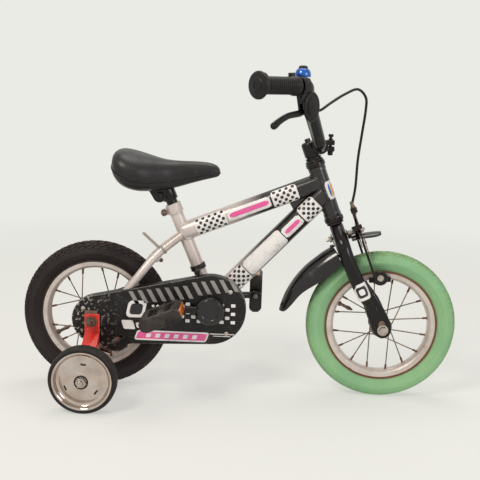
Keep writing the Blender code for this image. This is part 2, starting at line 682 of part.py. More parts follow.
def seat_collar(paints):
    """The band that pinches the seat tube on the post, and the bolt through its ears."""
    height = 19
    outer, bore = SEAT_TUBE_DIAMETER / 2 + 3, SEAT_TUBE_DIAMETER / 2 + SEAT_GAP
    start = SEAT_TUBE_END - SEAT_UP * (height - 2.3)
    band = turned("seat_collar", [(bore, 0), (outer, 0), (outer, height), (outer - 1, height + 0.5),
                                  (POST_DIAMETER / 2 + RUNNING_GAP, height + 0.5),
                                  (POST_DIAMETER / 2 + RUNNING_GAP, height - 2), (bore, height - 2)],
                  facing(SEAT_UP, start), 12)
    back = Vector((-SEAT_UP.z, 0, SEAT_UP.x))
    ear_place = start + SEAT_UP * height * 0.45 + back * (outer + 4)
    turn = Matrix.Rotation(math.radians(SEAT_ANGLE - 90), 4, "Y")
    ears = block("ears", (14, 15, 13), Matrix.Translation(ear_place - back * 0.7) @ turn)
    split = block("split", (19, 2, 31), Matrix.Translation(ear_place) @ turn)
    hole_at = ear_place + back * 1.5
    hole = drill("hole", hole_at - ACROSS * 20, hole_at + ACROSS * 20, 6 + 2 * SEAT_GAP, 8)
    bore_cut = drill("bore", start - SEAT_UP * 2, start + SEAT_UP * (height - 2), bore * 2, 12)
    finish(cut(fuse(band, ears), split, hole, bore_cut), "seat_collar", paints["zinc"])
    bolt = rod("bolt", hole_at - ACROSS * 11, hole_at + ACROSS * 13, 6, 8)
    head = turned("head", [(0, 0), (6.2, 0), (6.2, 2.5), (3.5, 5), (0, 5)],
                  facing(-ACROSS, hole_at - ACROSS * (7.5 + SEAT_GAP)), 12)
    nut = plate("nut", hexagon(10), 5, across(hole_at + ACROSS * (7.5 + SEAT_GAP)))
    finish(fuse(bolt, head, nut), "seat_collar_bolt", paints["zinc"])


def bottom_bracket(paints):
    """The right and left cups, pressed in the shell round the turning crank."""
    sleeve = BB_SHELL_RADIUS - BB_SHELL_WALL - SEAT_GAP
    bore = CRANK_BAR_DIAMETER / 2 + 1.2
    for side, name in ((-1, "bb_cup_right"), (1, "bb_cup_left")):
        profile = [(bore, -12), (sleeve, -12), (sleeve, SEAT_GAP), (BB_SHELL_RADIUS, SEAT_GAP),
                   (BB_SHELL_RADIUS - 2, BB_CUP_FLANGE), (bore, BB_CUP_FLANGE)]
        place = across(BB + ACROSS * side * BB_SHELL_WIDTH / 2, side)
        finish(turned(name, profile, place, 12), name, paints["zinc"])


# What is bolted to the rear end

DROPOUT_OUTER = REAR_WIDTH / 2 + DROPOUT_THICKNESS
KEYED_PLATE_AT = GUARD_FACE + 0.4
BRACKET_AT = KEYED_PLATE_AT + KEYED_PLATE + SEAT_GAP
WASHER_AT = BRACKET_AT + BRACKET_STEEL + SEAT_GAP
GUARD_REAR_CENTRE = (REAR_AXLE.x + 10, TYRE_RADIUS + 2)
GUARD_BULGE_CENTRE = (REAR_AXLE.x + 45, 118)


def hull_outline(first, first_radius, second, second_radius, steps=12):
    """The outline round two circles and their outer tangents."""
    run = math.degrees(math.atan2(second[1] - first[1], second[0] - first[0]))
    reach = math.hypot(second[0] - first[0], second[1] - first[1])
    lean = math.degrees(math.asin((second_radius - first_radius) / reach))
    return (arc(second, second_radius, run - 90 - lean, run + 90 + lean, steps)
            + arc(first, first_radius, run + 90 + lean, run + 270 - lean, steps))


def guard_solid(name, inset, start, depth):
    """The guard's outer form, drawn in by inset, from the lateral place start inwards by depth."""
    outline = hull_outline(GUARD_REAR_CENTRE, GUARD_REAR_RADIUS - inset, (BB.x, BB.z - 1),
                           GUARD_FRONT_RADIUS - inset, 10)
    body = plate(name, outline, depth, across((0, -start + depth, 0), -1))
    lobe = plate("bulge", arc(GUARD_BULGE_CENTRE, GUARD_BULGE_RADIUS - inset, 0, 337.5, 15), depth,
                 across((0, -start + depth, 0), -1))
    return fuse(body, lobe)


def seatstay_route(side):
    """The middle line of a seatstay, from the seat tube to its dropout."""
    foot = (REAR_WIDTH + DROPOUT_THICKNESS) / 2 + 0.4
    places = [stay_top_point() + ACROSS * side * 8]
    for share, lateral, bow in ((0.729, 26, 5.8), (0.484, foot - 3, -0.4), (0.158, foot, -12.4)):
        places.append(REAR_AXLE.lerp(stay_top_point(), share) + ACROSS * side * lateral + STAY_NORMAL * bow)
    return smooth_route(places, 3)


def chain_guard(paints):
    """A full cover with a rim turned inwards over the chain."""
    shell = guard_solid("chain_guard", 0, GUARD_FACE, GUARD_DEPTH)
    hollow = guard_solid("hollow", GUARD_WALL, GUARD_FACE - GUARD_WALL, GUARD_DEPTH)
    axle_hole = drill("axle_hole", REAR_AXLE - ACROSS * 30, REAR_AXLE - ACROSS * 90, 2 * AXLE_COLLAR_RADIUS + 1.2, 14)
    crank_hole = drill("crank_hole", BB - ACROSS * 30, BB - ACROSS * 90, CRANK_BAR_DIAMETER + 3, 14)
    stay = pipe("stay", seatstay_route(-1), SEATSTAY_DIAMETER + 1.6, 3)
    slot_centre = (GUARD_BULGE_CENTRE[0] + 6, GUARD_BULGE_CENTRE[1] - 6)
    slot = plate("slot", hull_outline((slot_centre[0] - 7, slot_centre[1] - 8), 4, (slot_centre[0] + 9, slot_centre[1] + 8), 4.01, 5),
                 20, across((0, -GUARD_FACE + 10, 0), -1))
    finish(cut(shell, hollow, axle_hole, crank_hole, stay, slot), "chain_guard", paints["black_plastic"])


def guard_strap(paints):
    """The clip round the seat tube that holds the guard's upper edge."""
    at = BB + SEAT_UP * 78
    inner, outer = SEAT_TUBE_DIAMETER / 2 + 2 * SEAT_GAP + 0.1, SEAT_TUBE_DIAMETER / 2 + 3
    band = turned("guard_strap", [(inner, -5), (outer, -5), (outer, 5), (inner, 5)],
                  facing(SEAT_UP, at), 14)
    arm = block("arm", (10, 30, 2.5), Matrix.Translation(at + Vector((2, -28.5, 0))))
    rise = at.z - guard_top(at.x + 7) - SEAT_GAP
    foot = block("foot", (10, 3, rise + 1.2), Matrix.Translation(Vector((at.x + 2, -42, at.z - rise / 2 + 0.6))))
    finish(fuse(band, arm, foot), "guard_strap", paints["black_plastic"])


def guard_top(x):
    """Height of the guard's upper edge at x, between its two circles."""
    first, second = Vector(GUARD_REAR_CENTRE), Vector((BB.x, BB.z - 1))
    run = second - first
    lean = math.atan2(run.y, run.x) + math.pi / 2 + math.asin((GUARD_FRONT_RADIUS - GUARD_REAR_RADIUS) / run.length)
    low = first + GUARD_REAR_RADIUS * Vector((math.cos(lean), math.sin(lean)))
    high = second + GUARD_FRONT_RADIUS * Vector((math.cos(lean), math.sin(lean)))
    share = (x - low.x) / (high.x - low.x)
    return low.y + (high.y - low.y) * share


def rear_axle(paints):
    """The axle with its cones, spacers, keyed plates, washers and nuts on both sides."""
    nut_at = WASHER_AT + 2
    body = rod("rear_axle", REAR_AXLE - ACROSS * (nut_at + 15), REAR_AXLE + ACROSS * (nut_at + 15), AXLE_DIAMETER, 8)
    inner = REAR_WIDTH / 2 - SEAT_GAP
    rings = []
    for side in (-1, 1):
        cone_end = inner if side < 0 else COASTER_ARM_AT - SEAT_GAP
        cone_start = CHAINLINE + 4.2 if side < 0 else COASTER_LEFT_END + RUNNING_GAP
        for near, far, radius, sides in ((cone_start, cone_end, 8, 12),
                                         (DROPOUT_OUTER + SEAT_GAP, KEYED_PLATE_AT + 1, AXLE_COLLAR_RADIUS, 16),
                                         (WASHER_AT, nut_at, 10.5, 14)):
            rings.append(rod("ring", REAR_AXLE + ACROSS * side * near, REAR_AXLE + ACROSS * side * far,
                             radius * 2, sides))
        rings.append(plate("nut", hexagon(NUT_ACROSS_FLATS), 8, across(REAR_AXLE + ACROSS * side * (nut_at - 0.1), side)))
        keyed = block("keyed", (25, KEYED_PLATE, 34),
                      Matrix.Translation(REAR_AXLE + Vector((0, side * (KEYED_PLATE_AT + KEYED_PLATE / 2), 4))))
        rings.append(keyed)
    finish(fuse(body, *rings), "rear_axle", paints["zinc"])


def chainstay_route(side):
    """The middle line of a chainstay, from the bottom bracket shell to its dropout."""
    foot = (REAR_WIDTH + DROPOUT_THICKNESS) / 2 + 1
    return smooth_route([BB + Vector((-16, side * 17, -4)), BB + Vector((-60, side * 21, -9)),
                         BB + Vector((-90, side * 27.5, -12)), BB + Vector((-112, side * 33.5, -15)),
                         BB + Vector((-140, side * 40, -19)), REAR_AXLE + Vector((30, side * foot, 3))], 2)


def coaster_brake_arm(paints):
    """The reaction arm of the coaster hub, strapped under the left chainstay."""
    start = REAR_AXLE + ACROSS * COASTER_ARM_AT
    outline = hull_outline((start.x, start.z), 14, (start.x + COASTER_ARM_REACH, start.z - COASTER_ARM_DROP), 7, 8)
    arm = plate("coaster_brake_arm", outline, 3, across((0, COASTER_ARM_AT + 3, 0), -1))
    hole = drill("hole", start - ACROSS * 5, start + ACROSS * 12, AXLE_DIAMETER + 2 * SEAT_GAP, 12)
    eye_at = start + Vector((COASTER_ARM_REACH, 0, -COASTER_ARM_DROP))
    eye = drill("eye", eye_at - ACROSS * 5, eye_at + ACROSS * 12, 6 + 2 * SEAT_GAP, 8)
    finish(cut(arm, hole, eye), "coaster_brake_arm", paints["zinc"])


def arm_clip(paints):
    """The strap that hangs from the left chainstay and is bolted to the coaster arm."""
    eye = REAR_AXLE + Vector((COASTER_ARM_REACH, COASTER_ARM_AT, -COASTER_ARM_DROP))
    route = chainstay_route(1)
    nearest = min(route, key=lambda point: abs(point.x - eye.x))
    near_index = route.index(nearest)
    along = (route[near_index + 1] - route[near_index - 1]).normalized()
    hoop = rod("coaster_arm_clip", nearest - along * 6, nearest + along * 6, CHAINSTAY_DIAMETER + 5, 12)
    stay = pipe("stay", route, CHAINSTAY_DIAMETER + 3 * SEAT_GAP, 2)
    tab_top = nearest.z - CHAINSTAY_DIAMETER / 2 - 1.5
    tab_side = COASTER_ARM_AT + 3 + SEAT_GAP + 1
    tab = block("tab", (12, 2, tab_top - eye.z + 8),
                Matrix.Translation(Vector((eye.x, tab_side, (tab_top + eye.z - 8) / 2))))
    bridge = block("bridge", (12, abs(tab_side - nearest.y) + 2, 2.4),
                   Matrix.Translation(Vector((eye.x, (tab_side + nearest.y) / 2, tab_top + 0.2))))
    bolt = rod("bolt", Vector((eye.x, COASTER_ARM_AT - 5, eye.z)), Vector((eye.x, tab_side + 6, eye.z)), 6, 8)
    head = rod("head", Vector((eye.x, COASTER_ARM_AT - 5, eye.z)), Vector((eye.x, COASTER_ARM_AT - SEAT_GAP, eye.z)), 11, 6)
    finish(cut(fuse(hoop, tab, bridge, bolt, head), stay), "coaster_arm_clip", paints["zinc"])


def small_fittings(paints):
    """The bolt through the seatstay bridge, and the cable tie left beside it."""
    at = bridge_place()
    bolt = rod("bolt", at - STAY_NORMAL * 13, at + STAY_NORMAL * 13, 5, 8)
    head = rod("head", at + STAY_NORMAL * (6 + SEAT_GAP), at + STAY_NORMAL * 10, 9, 6)
    nut = rod("nut", at - STAY_NORMAL * 11, at - STAY_NORMAL * (6 + SEAT_GAP), 9, 6)
    finish(fuse(bolt, head, nut), "bridge_bolt", paints["zinc"])
    route = seatstay_route(-1)
    spot = (route[2] + route[3]) / 2
    along = (route[3] - route[2]).normalized()
    inner, outer = SEATSTAY_DIAMETER / 2 + SEAT_GAP + 0.3, SEATSTAY_DIAMETER / 2 + 2.0
    hoop = turned("cable_tie", [(inner, -2.4), (outer, -2.4), (outer, 2.4), (inner, 2.4)], facing(along, spot), 14)
    out = Vector((along.z, 0, -along.x))
    if out.z < 0:
        out = -out
    tail_start = spot + out * (outer - 0.8)
    tail = pipe("tail", [tail_start, tail_start + Vector((-14, -1, 18)), tail_start + Vector((-30, -2, 40))], 3.6, 0)
    finish(fuse(hoop, tail), "cable_tie", paints["grey_plastic"])


# Training wheels

def strip_outline(path, thickness):
    """The outline of a bent strip whose middle line is path."""
    points = [Vector(point) for point in path]
    left, right = [], []
    for index, point in enumerate(points):
        before = (point - points[index - 1]).normalized() if index else None
        after = (points[index + 1] - point).normalized() if index + 1 < len(points) else None
        if before is None or after is None:
            run = after or before
            normal = Vector((-run.y, run.x))
            spread = thickness / 2
        else:
            normal = (Vector((-before.y, before.x)) + Vector((-after.y, after.x))).normalized()
            spread = thickness / 2 / normal.dot(Vector((-before.y, before.x)))
        left.append(tuple(point + normal * spread))
        right.append(tuple(point - normal * spread))
    return left + right[::-1]


def lateral_plane(x):
    """A matrix with local X to the left, local Y up and local Z forward, at x."""
    return Matrix.Translation(Vector((x, 0, 0))) @ Matrix(((0, 0, 1), (1, 0, 0), (0, 1, 0))).to_4x4()


def training_axle(side):
    return Vector((REAR_AXLE.x + TRAINING_FORWARD, side * TRAINING_OUTER_FACE, TRAINING_RADIUS))


def training_wheel(paints, side, carrier):
    """A pressed steel disc in a solid rubber tyre."""
    name = "right" if side < 0 else "left"
    face = training_axle(side)
    seat = TRAINING_DISC_RADIUS + SEAT_GAP
    rubber = [(seat, -1), (TRAINING_RADIUS - 3, 0), (TRAINING_RADIUS, -3), (TRAINING_RADIUS, 3 - TRAINING_WIDTH),
              (TRAINING_RADIUS - 3, -TRAINING_WIDTH), (seat, 1 - TRAINING_WIDTH)]
    finish(turned("tyre", rubber, across(face, side), SMALL_WHEEL_STEPS), "training_tyre_" + name,
           paints["black_tyre"], carrier)
    lip = TRAINING_DISC_RADIUS
    bore = WHEEL_BOLT_DIAMETER / 2 + RUNNING_GAP
    back = 1 - TRAINING_WIDTH
    disc = [(lip, back), (lip, -1), (lip - 2, 0.5), (lip - 6, -4), (lip - 12, -7),
            (lip - 26, -3.5), (bore, -1), (bore, back + 1), (11, back + 1),
            (11, -5), (lip - 12, -11), (lip - 3.5, -11), (lip - 3.5, back)]
    finish(turned("disc", disc, across(face, side), SMALL_WHEEL_STEPS), "training_disc_" + name,
           paints["chrome"], carrier)


def training_bracket(paints, side):
    """The folded steel arm, slotted at the top, with the wheel's bolt through its foot."""
    name = "training_bracket_right" if side < 0 else "training_bracket_left"
    near = BRACKET_AT + BRACKET_STEEL / 2
    far = TRAINING_OUTER_FACE - TRAINING_WIDTH - 2 - BRACKET_STEEL / 2
    x = REAR_AXLE.x + TRAINING_FORWARD / 2
    knee, ankle, foot = 122, 84, TRAINING_RADIUS - 15
    path = [(side * near, TYRE_RADIUS + 15), (side * near, knee), (side * far, ankle), (side * far, foot)]
    web = plate(name, strip_outline(path, BRACKET_STEEL), BRACKET_WIDTH, lateral_plane(x - BRACKET_WIDTH / 2))
    slope = [(side * (near + 1), knee + 0.2), (side * far, ankle), (side * far, foot + 2),
             (side * (far - 12), foot + 8), (side * (near + 1), knee - 20)]
    cheeks = []
    for edge in (x - BRACKET_WIDTH / 2, x + BRACKET_WIDTH / 2 - BRACKET_STEEL):
        cheeks.append(plate("cheek", slope, BRACKET_STEEL, lateral_plane(edge)))
    bolt_at = Vector((REAR_AXLE.x + TRAINING_FORWARD, 0, TRAINING_RADIUS))
    end = TRAINING_OUTER_FACE + 9
    bolt = rod("bolt", bolt_at + ACROSS * side * (far - 4), bolt_at + ACROSS * side * end, WHEEL_BOLT_DIAMETER, 12)
    head = plate("head", hexagon(NUT_ACROSS_FLATS), 7, across(bolt_at + ACROSS * side * (far - 8.4), side))
    washer = rod("washer", bolt_at + ACROSS * side * (TRAINING_OUTER_FACE - 1 + RUNNING_GAP),
                 bolt_at + ACROSS * side * (TRAINING_OUTER_FACE + 1), 19, 14)
    nut = plate("nut", hexagon(NUT_ACROSS_FLATS), 6, across(bolt_at + ACROSS * side * (TRAINING_OUTER_FACE + 0.9), side))
    body = fuse(web, *cheeks, bolt, head, washer, nut)
    half = AXLE_DIAMETER / 2 + SEAT_GAP
    slot = plate("slot", hull_outline((REAR_AXLE.x, TYRE_RADIUS - 5), half, (REAR_AXLE.x, TYRE_RADIUS + 1.0), half + 0.001, 8),
                 30, across((0, side * near + 15, 0), -1))
    finish(cut(body, slot), name, paints["red_paint"])


# Crank and pedals

CAP_BACK = GUARD_FACE + 1.0


def crank_end(side):
    """The centre of a pedal eye. The right arm points back and the left arm forward."""
    angle = math.radians(CRANK_ANGLE + (180 if side < 0 else 0))
    return BB + Vector((CRANK_LENGTH * math.cos(angle), side * CRANK_EYE, CRANK_LENGTH * math.sin(angle)))


def crank(paints, carrier):
    """The one-piece crank: a spindle bent into both arms, with an eye for each pedal."""
    half = CRANK_ROOT
    spindle = rod("crank", BB - ACROSS * half, BB + ACROSS * half, CRANK_BAR_DIAMETER, 8)
    solids = []
    for side in (-1, 1):
        eye = crank_end(side)
        root = BB + ACROSS * side * CRANK_ROOT
        solids.append(pipe("arm", smooth_route([root, root.lerp(eye, 0.45) - ACROSS * side * 3, eye], 2),
                           CRANK_BAR_DIAMETER * 0.98, 2))
        boss_end = CAP_FACE - 3.2 - SEAT_GAP
        solids.append(rod("boss", BB + ACROSS * side * (CAP_BACK - 0.2), BB + ACROSS * side * boss_end, 24, 12))
        solids.append(rod("eye", eye - ACROSS * side * 6, eye + ACROSS * side * 6.5, 23, 12))
    solids.append(rod("ring_seat", BB - ACROSS * (CHAINLINE + SPROCKET_THICKNESS / 2 + SEAT_GAP),
                      BB - ACROSS * (CHAINLINE + 5), CRANK_BOSS_RADIUS * 2, 12))
    holes = [drill("hole", crank_end(side) - ACROSS * 20, crank_end(side) + ACROSS * 20,
                 PEDAL_SPINDLE_DIAMETER + 2 * SEAT_GAP, 10) for side in (-1, 1)]
    finish(cut(fuse(spindle, *solids), *holes), "crank", paints["black_paint"], carrier)


def crank_cap(paints, carrier):
    """The round cover over the right arm's root, stepped in rings."""
    depth = CAP_FACE - CAP_BACK
    profile = [(0, depth - 1.2), (16, depth - 1.2), (17.5, depth), (24, depth),
               (28, depth - 4), (28, 0), (25.5, 0), (25.5, depth - 4.5), (23, depth - 3.2), (0, depth - 3.2)]
    cap = turned("crank_cap", profile, across(BB - ACROSS * CAP_BACK, -1), 14)
    eye = crank_end(-1)
    away = (Vector((eye.x, 0, eye.z)) - BB).normalized()
    turn = Matrix.Rotation(-math.atan2(away.z, away.x), 4, "Y")
    slot = block("slot", (40, 40, CRANK_BAR_DIAMETER + 1.6),
                 Matrix.Translation(BB + away * 32 - ACROSS * (CRANK_ROOT - 10)) @ turn)
    finish(cut(cap, slot), "crank_cap", paints["black_plastic"], carrier)


def pedal_spindle(paints, side, carrier):
    """A pedal spindle screwed in its crank eye."""
    eye = crank_end(side)
    name = "pedal_spindle_right" if side < 0 else "pedal_spindle_left"
    start = eye - ACROSS * side * 6
    collar = eye + ACROSS * side * (6.5 + SEAT_GAP)
    end = Vector((eye.x, side * (PEDAL_INNER_FACE + PEDAL_WIDTH - 7), eye.z))
    inner = Vector((eye.x, side * (PEDAL_INNER_FACE - RUNNING_GAP), eye.z))
    spindle = rod(name, start, end, PEDAL_SPINDLE_DIAMETER, 10)
    flange = rod("flange", collar, inner, 18, 10)
    finish(fuse(spindle, flange), name, paints["zinc"], carrier)


def pedal(paints, side, angle, carrier):
    """A moulded pedal: a barrel on the spindle, two tread bars and two end plates."""
    eye = crank_end(side)
    name = "pedal_right" if side < 0 else "pedal_left"
    inner = Vector((eye.x, side * PEDAL_INNER_FACE, eye.z))
    place = Matrix.Translation(inner) @ Matrix.Rotation(-math.radians(angle), 4, "Y")
    flat = place @ across((0, 0, 0), side)
    half_length, half_thick = PEDAL_LENGTH / 2, PEDAL_THICKNESS / 2
    octagon = [(-half_length, -6), (-half_length + 9, -half_thick), (half_length - 9, -half_thick), (half_length, -6),
               (half_length, 6), (half_length - 9, half_thick), (-half_length + 9, half_thick), (-half_length, 6)]
    body = plate(name, octagon, 7, flat)
    far = plate("far", octagon, 7, flat @ Matrix.Translation((0, 0, PEDAL_WIDTH - 7)))
    bars = [plate("barrel", arc((0, 0), 11.5, 0, 324, 9), PEDAL_WIDTH, flat)]
    for end in (-1, 1):
        tread = [(end * (half_length - 2), -8), (end * (half_length - 2), 8), (end * (half_length - 7), half_thick - 1),
                 (end * (half_length - 17), half_thick - 1), (end * (half_length - 17), 1 - half_thick),
                 (end * (half_length - 7), 1 - half_thick)]
        bars.append(plate("tread", tread, PEDAL_WIDTH - 4, flat @ Matrix.Translation((0, 0, 2))))
    bore = drill("bore", inner - ACROSS * side * 5, inner + ACROSS * side * (PEDAL_WIDTH - 6),
               PEDAL_SPINDLE_DIAMETER + 2 * RUNNING_GAP, 10)
    finish(cut(fuse(body, far, *bars), bore), name, paints["black_plastic"], carrier)


# Steering

CROWN = HEAD_BASE - STEER_UP * CROWN_DROP
CLAMP = HEAD_TOP + STEER_UP * 36.8 + STEER_FORWARD * 20
LOCKNUT_TOP = CUP_HEIGHT + LOCKNUT_HEIGHT + SEAT_GAP


def fork(paints, carrier):
    """The steerer, the crown and two blades that end in flattened tips."""
    steerer = rod("fork", HEAD_BASE - STEER_UP * 30, HEAD_TOP + STEER_UP * (LOCKNUT_TOP - 1), STEERER_DIAMETER, 12)
    race = rod("race", HEAD_BASE - STEER_UP * (CUP_HEIGHT + 5), HEAD_BASE - STEER_UP * (CUP_HEIGHT + RUNNING_GAP),
               34, 12)
    solids = [race]
    spread = FORK_BLADE_SPREAD / 2
    for side in (-1, 1):
        lateral = ACROSS * side
        tip = FRONT_AXLE + lateral * (FRONT_WIDTH / 2 + 3.5)
        route = smooth_route([HEAD_BASE - STEER_UP * 24 + lateral * 3, HEAD_BASE - STEER_UP * 36 + lateral * spread * 0.42,
                              HEAD_BASE - STEER_UP * 56 + lateral * spread * 0.86,
                              HEAD_BASE - STEER_UP * 84 + lateral * spread,
                              FRONT_AXLE + STEER_UP * 84 - STEER_FORWARD * 14 + lateral * spread,
                              tip + STEER_UP * 40 - STEER_FORWARD * 3], 2)
        radii = [1.0] * (len(route) - 3) + [0.9, 0.72, 0.5]
        solids.append(pipe("blade", route, FORK_BLADE_DIAMETER, 2, radii))
        up, forward = STEER_UP, STEER_FORWARD
        outline = []
        for along, ahead in ((100, -10), (76, -17.5), (8, -18.5), (-8, -15.5), (-17, -7), (-17, 7),
                             (-8, 16), (8, 18.5), (40, 16), (76, 4), (100, 2)):
            point = FRONT_AXLE + up * along + forward * ahead
            outline.append((point.x, point.z))
        outer = side * (FRONT_WIDTH / 2 + (7 if side > 0 else 0))
        solids.append(plate("tip", outline, 7, across((0, outer, 0), -1)))
    crown = rod("crown", CROWN - ACROSS * 26 + STEER_UP * 4, CROWN + ACROSS * 26 + STEER_UP * 4, 25, 10)
    body = fuse(steerer, crown, *solids)
    holes = [drill("quill_bore", HEAD_BASE - STEER_UP * 4, HEAD_TOP + STEER_UP * 60, STEERER_BORE, 12),
             drill("bolt_hole", CROWN - STEER_FORWARD * 40, CROWN + STEER_FORWARD * 40,
                 BRAKE_BOLT_DIAMETER + 2 * SEAT_GAP, 10),
             drill("axle_hole", FRONT_AXLE - ACROSS * 60, FRONT_AXLE + ACROSS * 60, AXLE_DIAMETER + 2 * SEAT_GAP, 12)]
    finish(cut(body, *holes), "fork", paints["black_paint"], carrier)


def front_axle(paints, carrier):
    """The front axle with its cones, washers and nuts."""
    outer = FRONT_WIDTH / 2 + 7 + SEAT_GAP
    body = rod("front_axle", FRONT_AXLE - ACROSS * (outer + 13), FRONT_AXLE + ACROSS * (outer + 13), AXLE_DIAMETER, 8)
    rings = []
    for side in (-1, 1):
        lateral = ACROSS * side
        rings.append(rod("cone", FRONT_AXLE + lateral * (HUB_FLANGE_SPAN / 2 + 4 + RUNNING_GAP),
                         FRONT_AXLE + lateral * (FRONT_WIDTH / 2 - SEAT_GAP), 16, 8))
        rings.append(rod("washer", FRONT_AXLE + lateral * outer, FRONT_AXLE + lateral * (outer + 2), 22, 10))
        rings.append(plate("nut", hexagon(NUT_ACROSS_FLATS), 8, across(FRONT_AXLE + lateral * (outer + 1.9), side)))
    finish(fuse(body, *rings), "front_axle", paints["zinc"], carrier)


def bar_route():
    """The handlebar's middle line, from the right end over the stem to the left end."""
    sweep = math.radians(GRIP_SWEEP)
    inward = Vector((math.sin(sweep), -math.cos(sweep), 0))
    end = CLAMP + Vector((-BAR_BACKSWEEP, BAR_WIDTH / 2 - 2, BAR_RISE))
    half = [CLAMP, CLAMP + ACROSS * 20, CLAMP + Vector((-3, 37, 7)), CLAMP + Vector((-9, 52, 26)),
            CLAMP + Vector((-26, 104, 76)), CLAMP + Vector((-33, 132, 101)),
            end + inward * (GRIP_LENGTH + 24), end + inward * GRIP_LENGTH, end + inward * 8]
    left = smooth_route(half[1:], 2)
    right = [Vector((point.x, -point.y, point.z)) for point in reversed(left)]
    return right + left, end, inward


def stem(paints, carrier):
    """A quill stem with a split clamp in front, pinched by an upright bolt."""
    quill = rod("stem", HEAD_TOP - STEER_UP * 46, HEAD_TOP + STEER_UP * 30, 22.2, 12)
    body_start = HEAD_TOP + STEER_UP * (LOCKNUT_TOP + 1.5)
    body = turned("body", [(0, 0), (13, 0), (15, 3), (15, 27), (12, 30), (0, 30)], facing(STEER_UP, body_start), 14, 5)
    bolt = rod("bolt", body_start + STEER_UP * 28, body_start + STEER_UP * 36, 11, 6)
    ring = rod("ring", CLAMP - ACROSS * 17, CLAMP + ACROSS * 17, BAR_DIAMETER + 8, 12)
    ears = block("ears", (18, 18, 22), Matrix.Translation(CLAMP + Vector((18, 0, 1))))
    solid = fuse(quill, body, bolt, ring, ears)
    bore = drill("bore", CLAMP - ACROSS * 30, CLAMP + ACROSS * 30, BAR_DIAMETER + 2 * SEAT_GAP, 12)
    split = block("split", (30, 40, 2.4), Matrix.Translation(CLAMP + Vector((24, 0, 1))))
    pinch = drill("pinch", CLAMP + Vector((19.5, 0, -30)), CLAMP + Vector((19.5, 0, 30)), 6 + 2 * SEAT_GAP, 8)
    finish(cut(solid, bore, split, pinch), "stem", paints["black_paint"], carrier)
    at = CLAMP + Vector((19.5, 0, 1))
    shank = rod("shank", at - Vector((0, 0, 19)), at + Vector((0, 0, 22)), 6, 8)
    head = rod("head", at + Vector((0, 0, 17)), at + Vector((0, 0, 22)), 11, 6)
    collar = rod("collar", at + Vector((0, 0, 11 + SEAT_GAP)), at + Vector((0, 0, 13.5)), 9, 8)
    nut = rod("nut", at - Vector((0, 0, 18)), at - Vector((0, 0, 11 + SEAT_GAP)), 11.5, 6)
    finish(fuse(shank, head, collar, nut), "stem_clamp_bolt", paints["black_paint"], carrier)


def handlebar(paints, carrier):
    route, end, inward = bar_route()
    finish(pipe("handlebar", route, BAR_DIAMETER, 2), "handlebar", paints["black_paint"], carrier)
    body, flange = GRIP_DIAMETER / 2, GRIP_FLANGE_DIAMETER / 2
    bore = (BAR_DIAMETER / 2 + SEAT_GAP) / math.cos(math.pi / 12)
    for side, name in ((-1, "grip_right"), (1, "grip_left")):
        outer = Vector((end.x, side * end.y, end.z))
        along = Vector((inward.x, side * inward.y, 0))
        profile = [(bore, 8 - SEAT_GAP), (0, 8 - SEAT_GAP), (0, -1.5), (body - 3, -1.5), (body - 1, 0), (flange - 3, 0.5),
                   (flange, 3), (flange, 6), (flange - 3, 8), (body + 3.5, 9), (body + 2.5, 14), (body + 0.6, 15)]
        pitch = (GRIP_LENGTH - 26) / GRIP_RIBS
        for index in range(GRIP_RIBS):
            start = 17 + index * pitch
            profile += [(body, start), (body - 0.9, start + pitch * 0.7)]
        profile += [(body + 2, GRIP_LENGTH - 8), (body + 3, GRIP_LENGTH - 3), (body + 1, GRIP_LENGTH), (bore, GRIP_LENGTH)]
        outline = profile[2:] + profile[:2]
        finish(turned(name, outline, facing(along, outer), 10), name, paints["black_plastic"], carrier)


def loft(name, rings):
    """Skin closed rings of points in order, with a face on each end."""
    bm = bmesh.new()
    loops = [[bm.verts.new(point) for point in ring] for ring in rings]
    for ring, following in zip(loops, loops[1:]):
        for index, vert in enumerate(ring):
            after = (index + 1) % len(ring)
            bm.faces.new((vert, ring[after], following[after], following[index]))
    bm.faces.new(loops[0])
    bm.faces.new(list(reversed(loops[-1])))
    return as_object(name, bm)


# Lever, cable and bell on the handlebar


def lever_frame():
    """The ring's centre on the right of the bar, the way out along the grip and the pivot's direction."""
    _, end, inward = bar_route()
    centre = end + inward * LEVER_REACH
    out = Vector((-inward.x, inward.y, 0))
    return Vector((centre.x, -centre.y, centre.z)), out, out.cross(Vector((0, 0, 1)))


def lever_point(along, up, sideways=0.0):
    centre, out, aside = lever_frame()
    return centre + out * along + Vector((0, 0, up)) + aside * sideways


def lever_plane(sideways):
    """A matrix with local X out along the grip, Y up and Z along the lever's pivot."""
    centre, out, aside = lever_frame()
    turn = Matrix((out, Vector((0, 0, 1)), aside)).transposed().to_4x4()
    return Matrix.Translation(centre + aside * sideways) @ turn


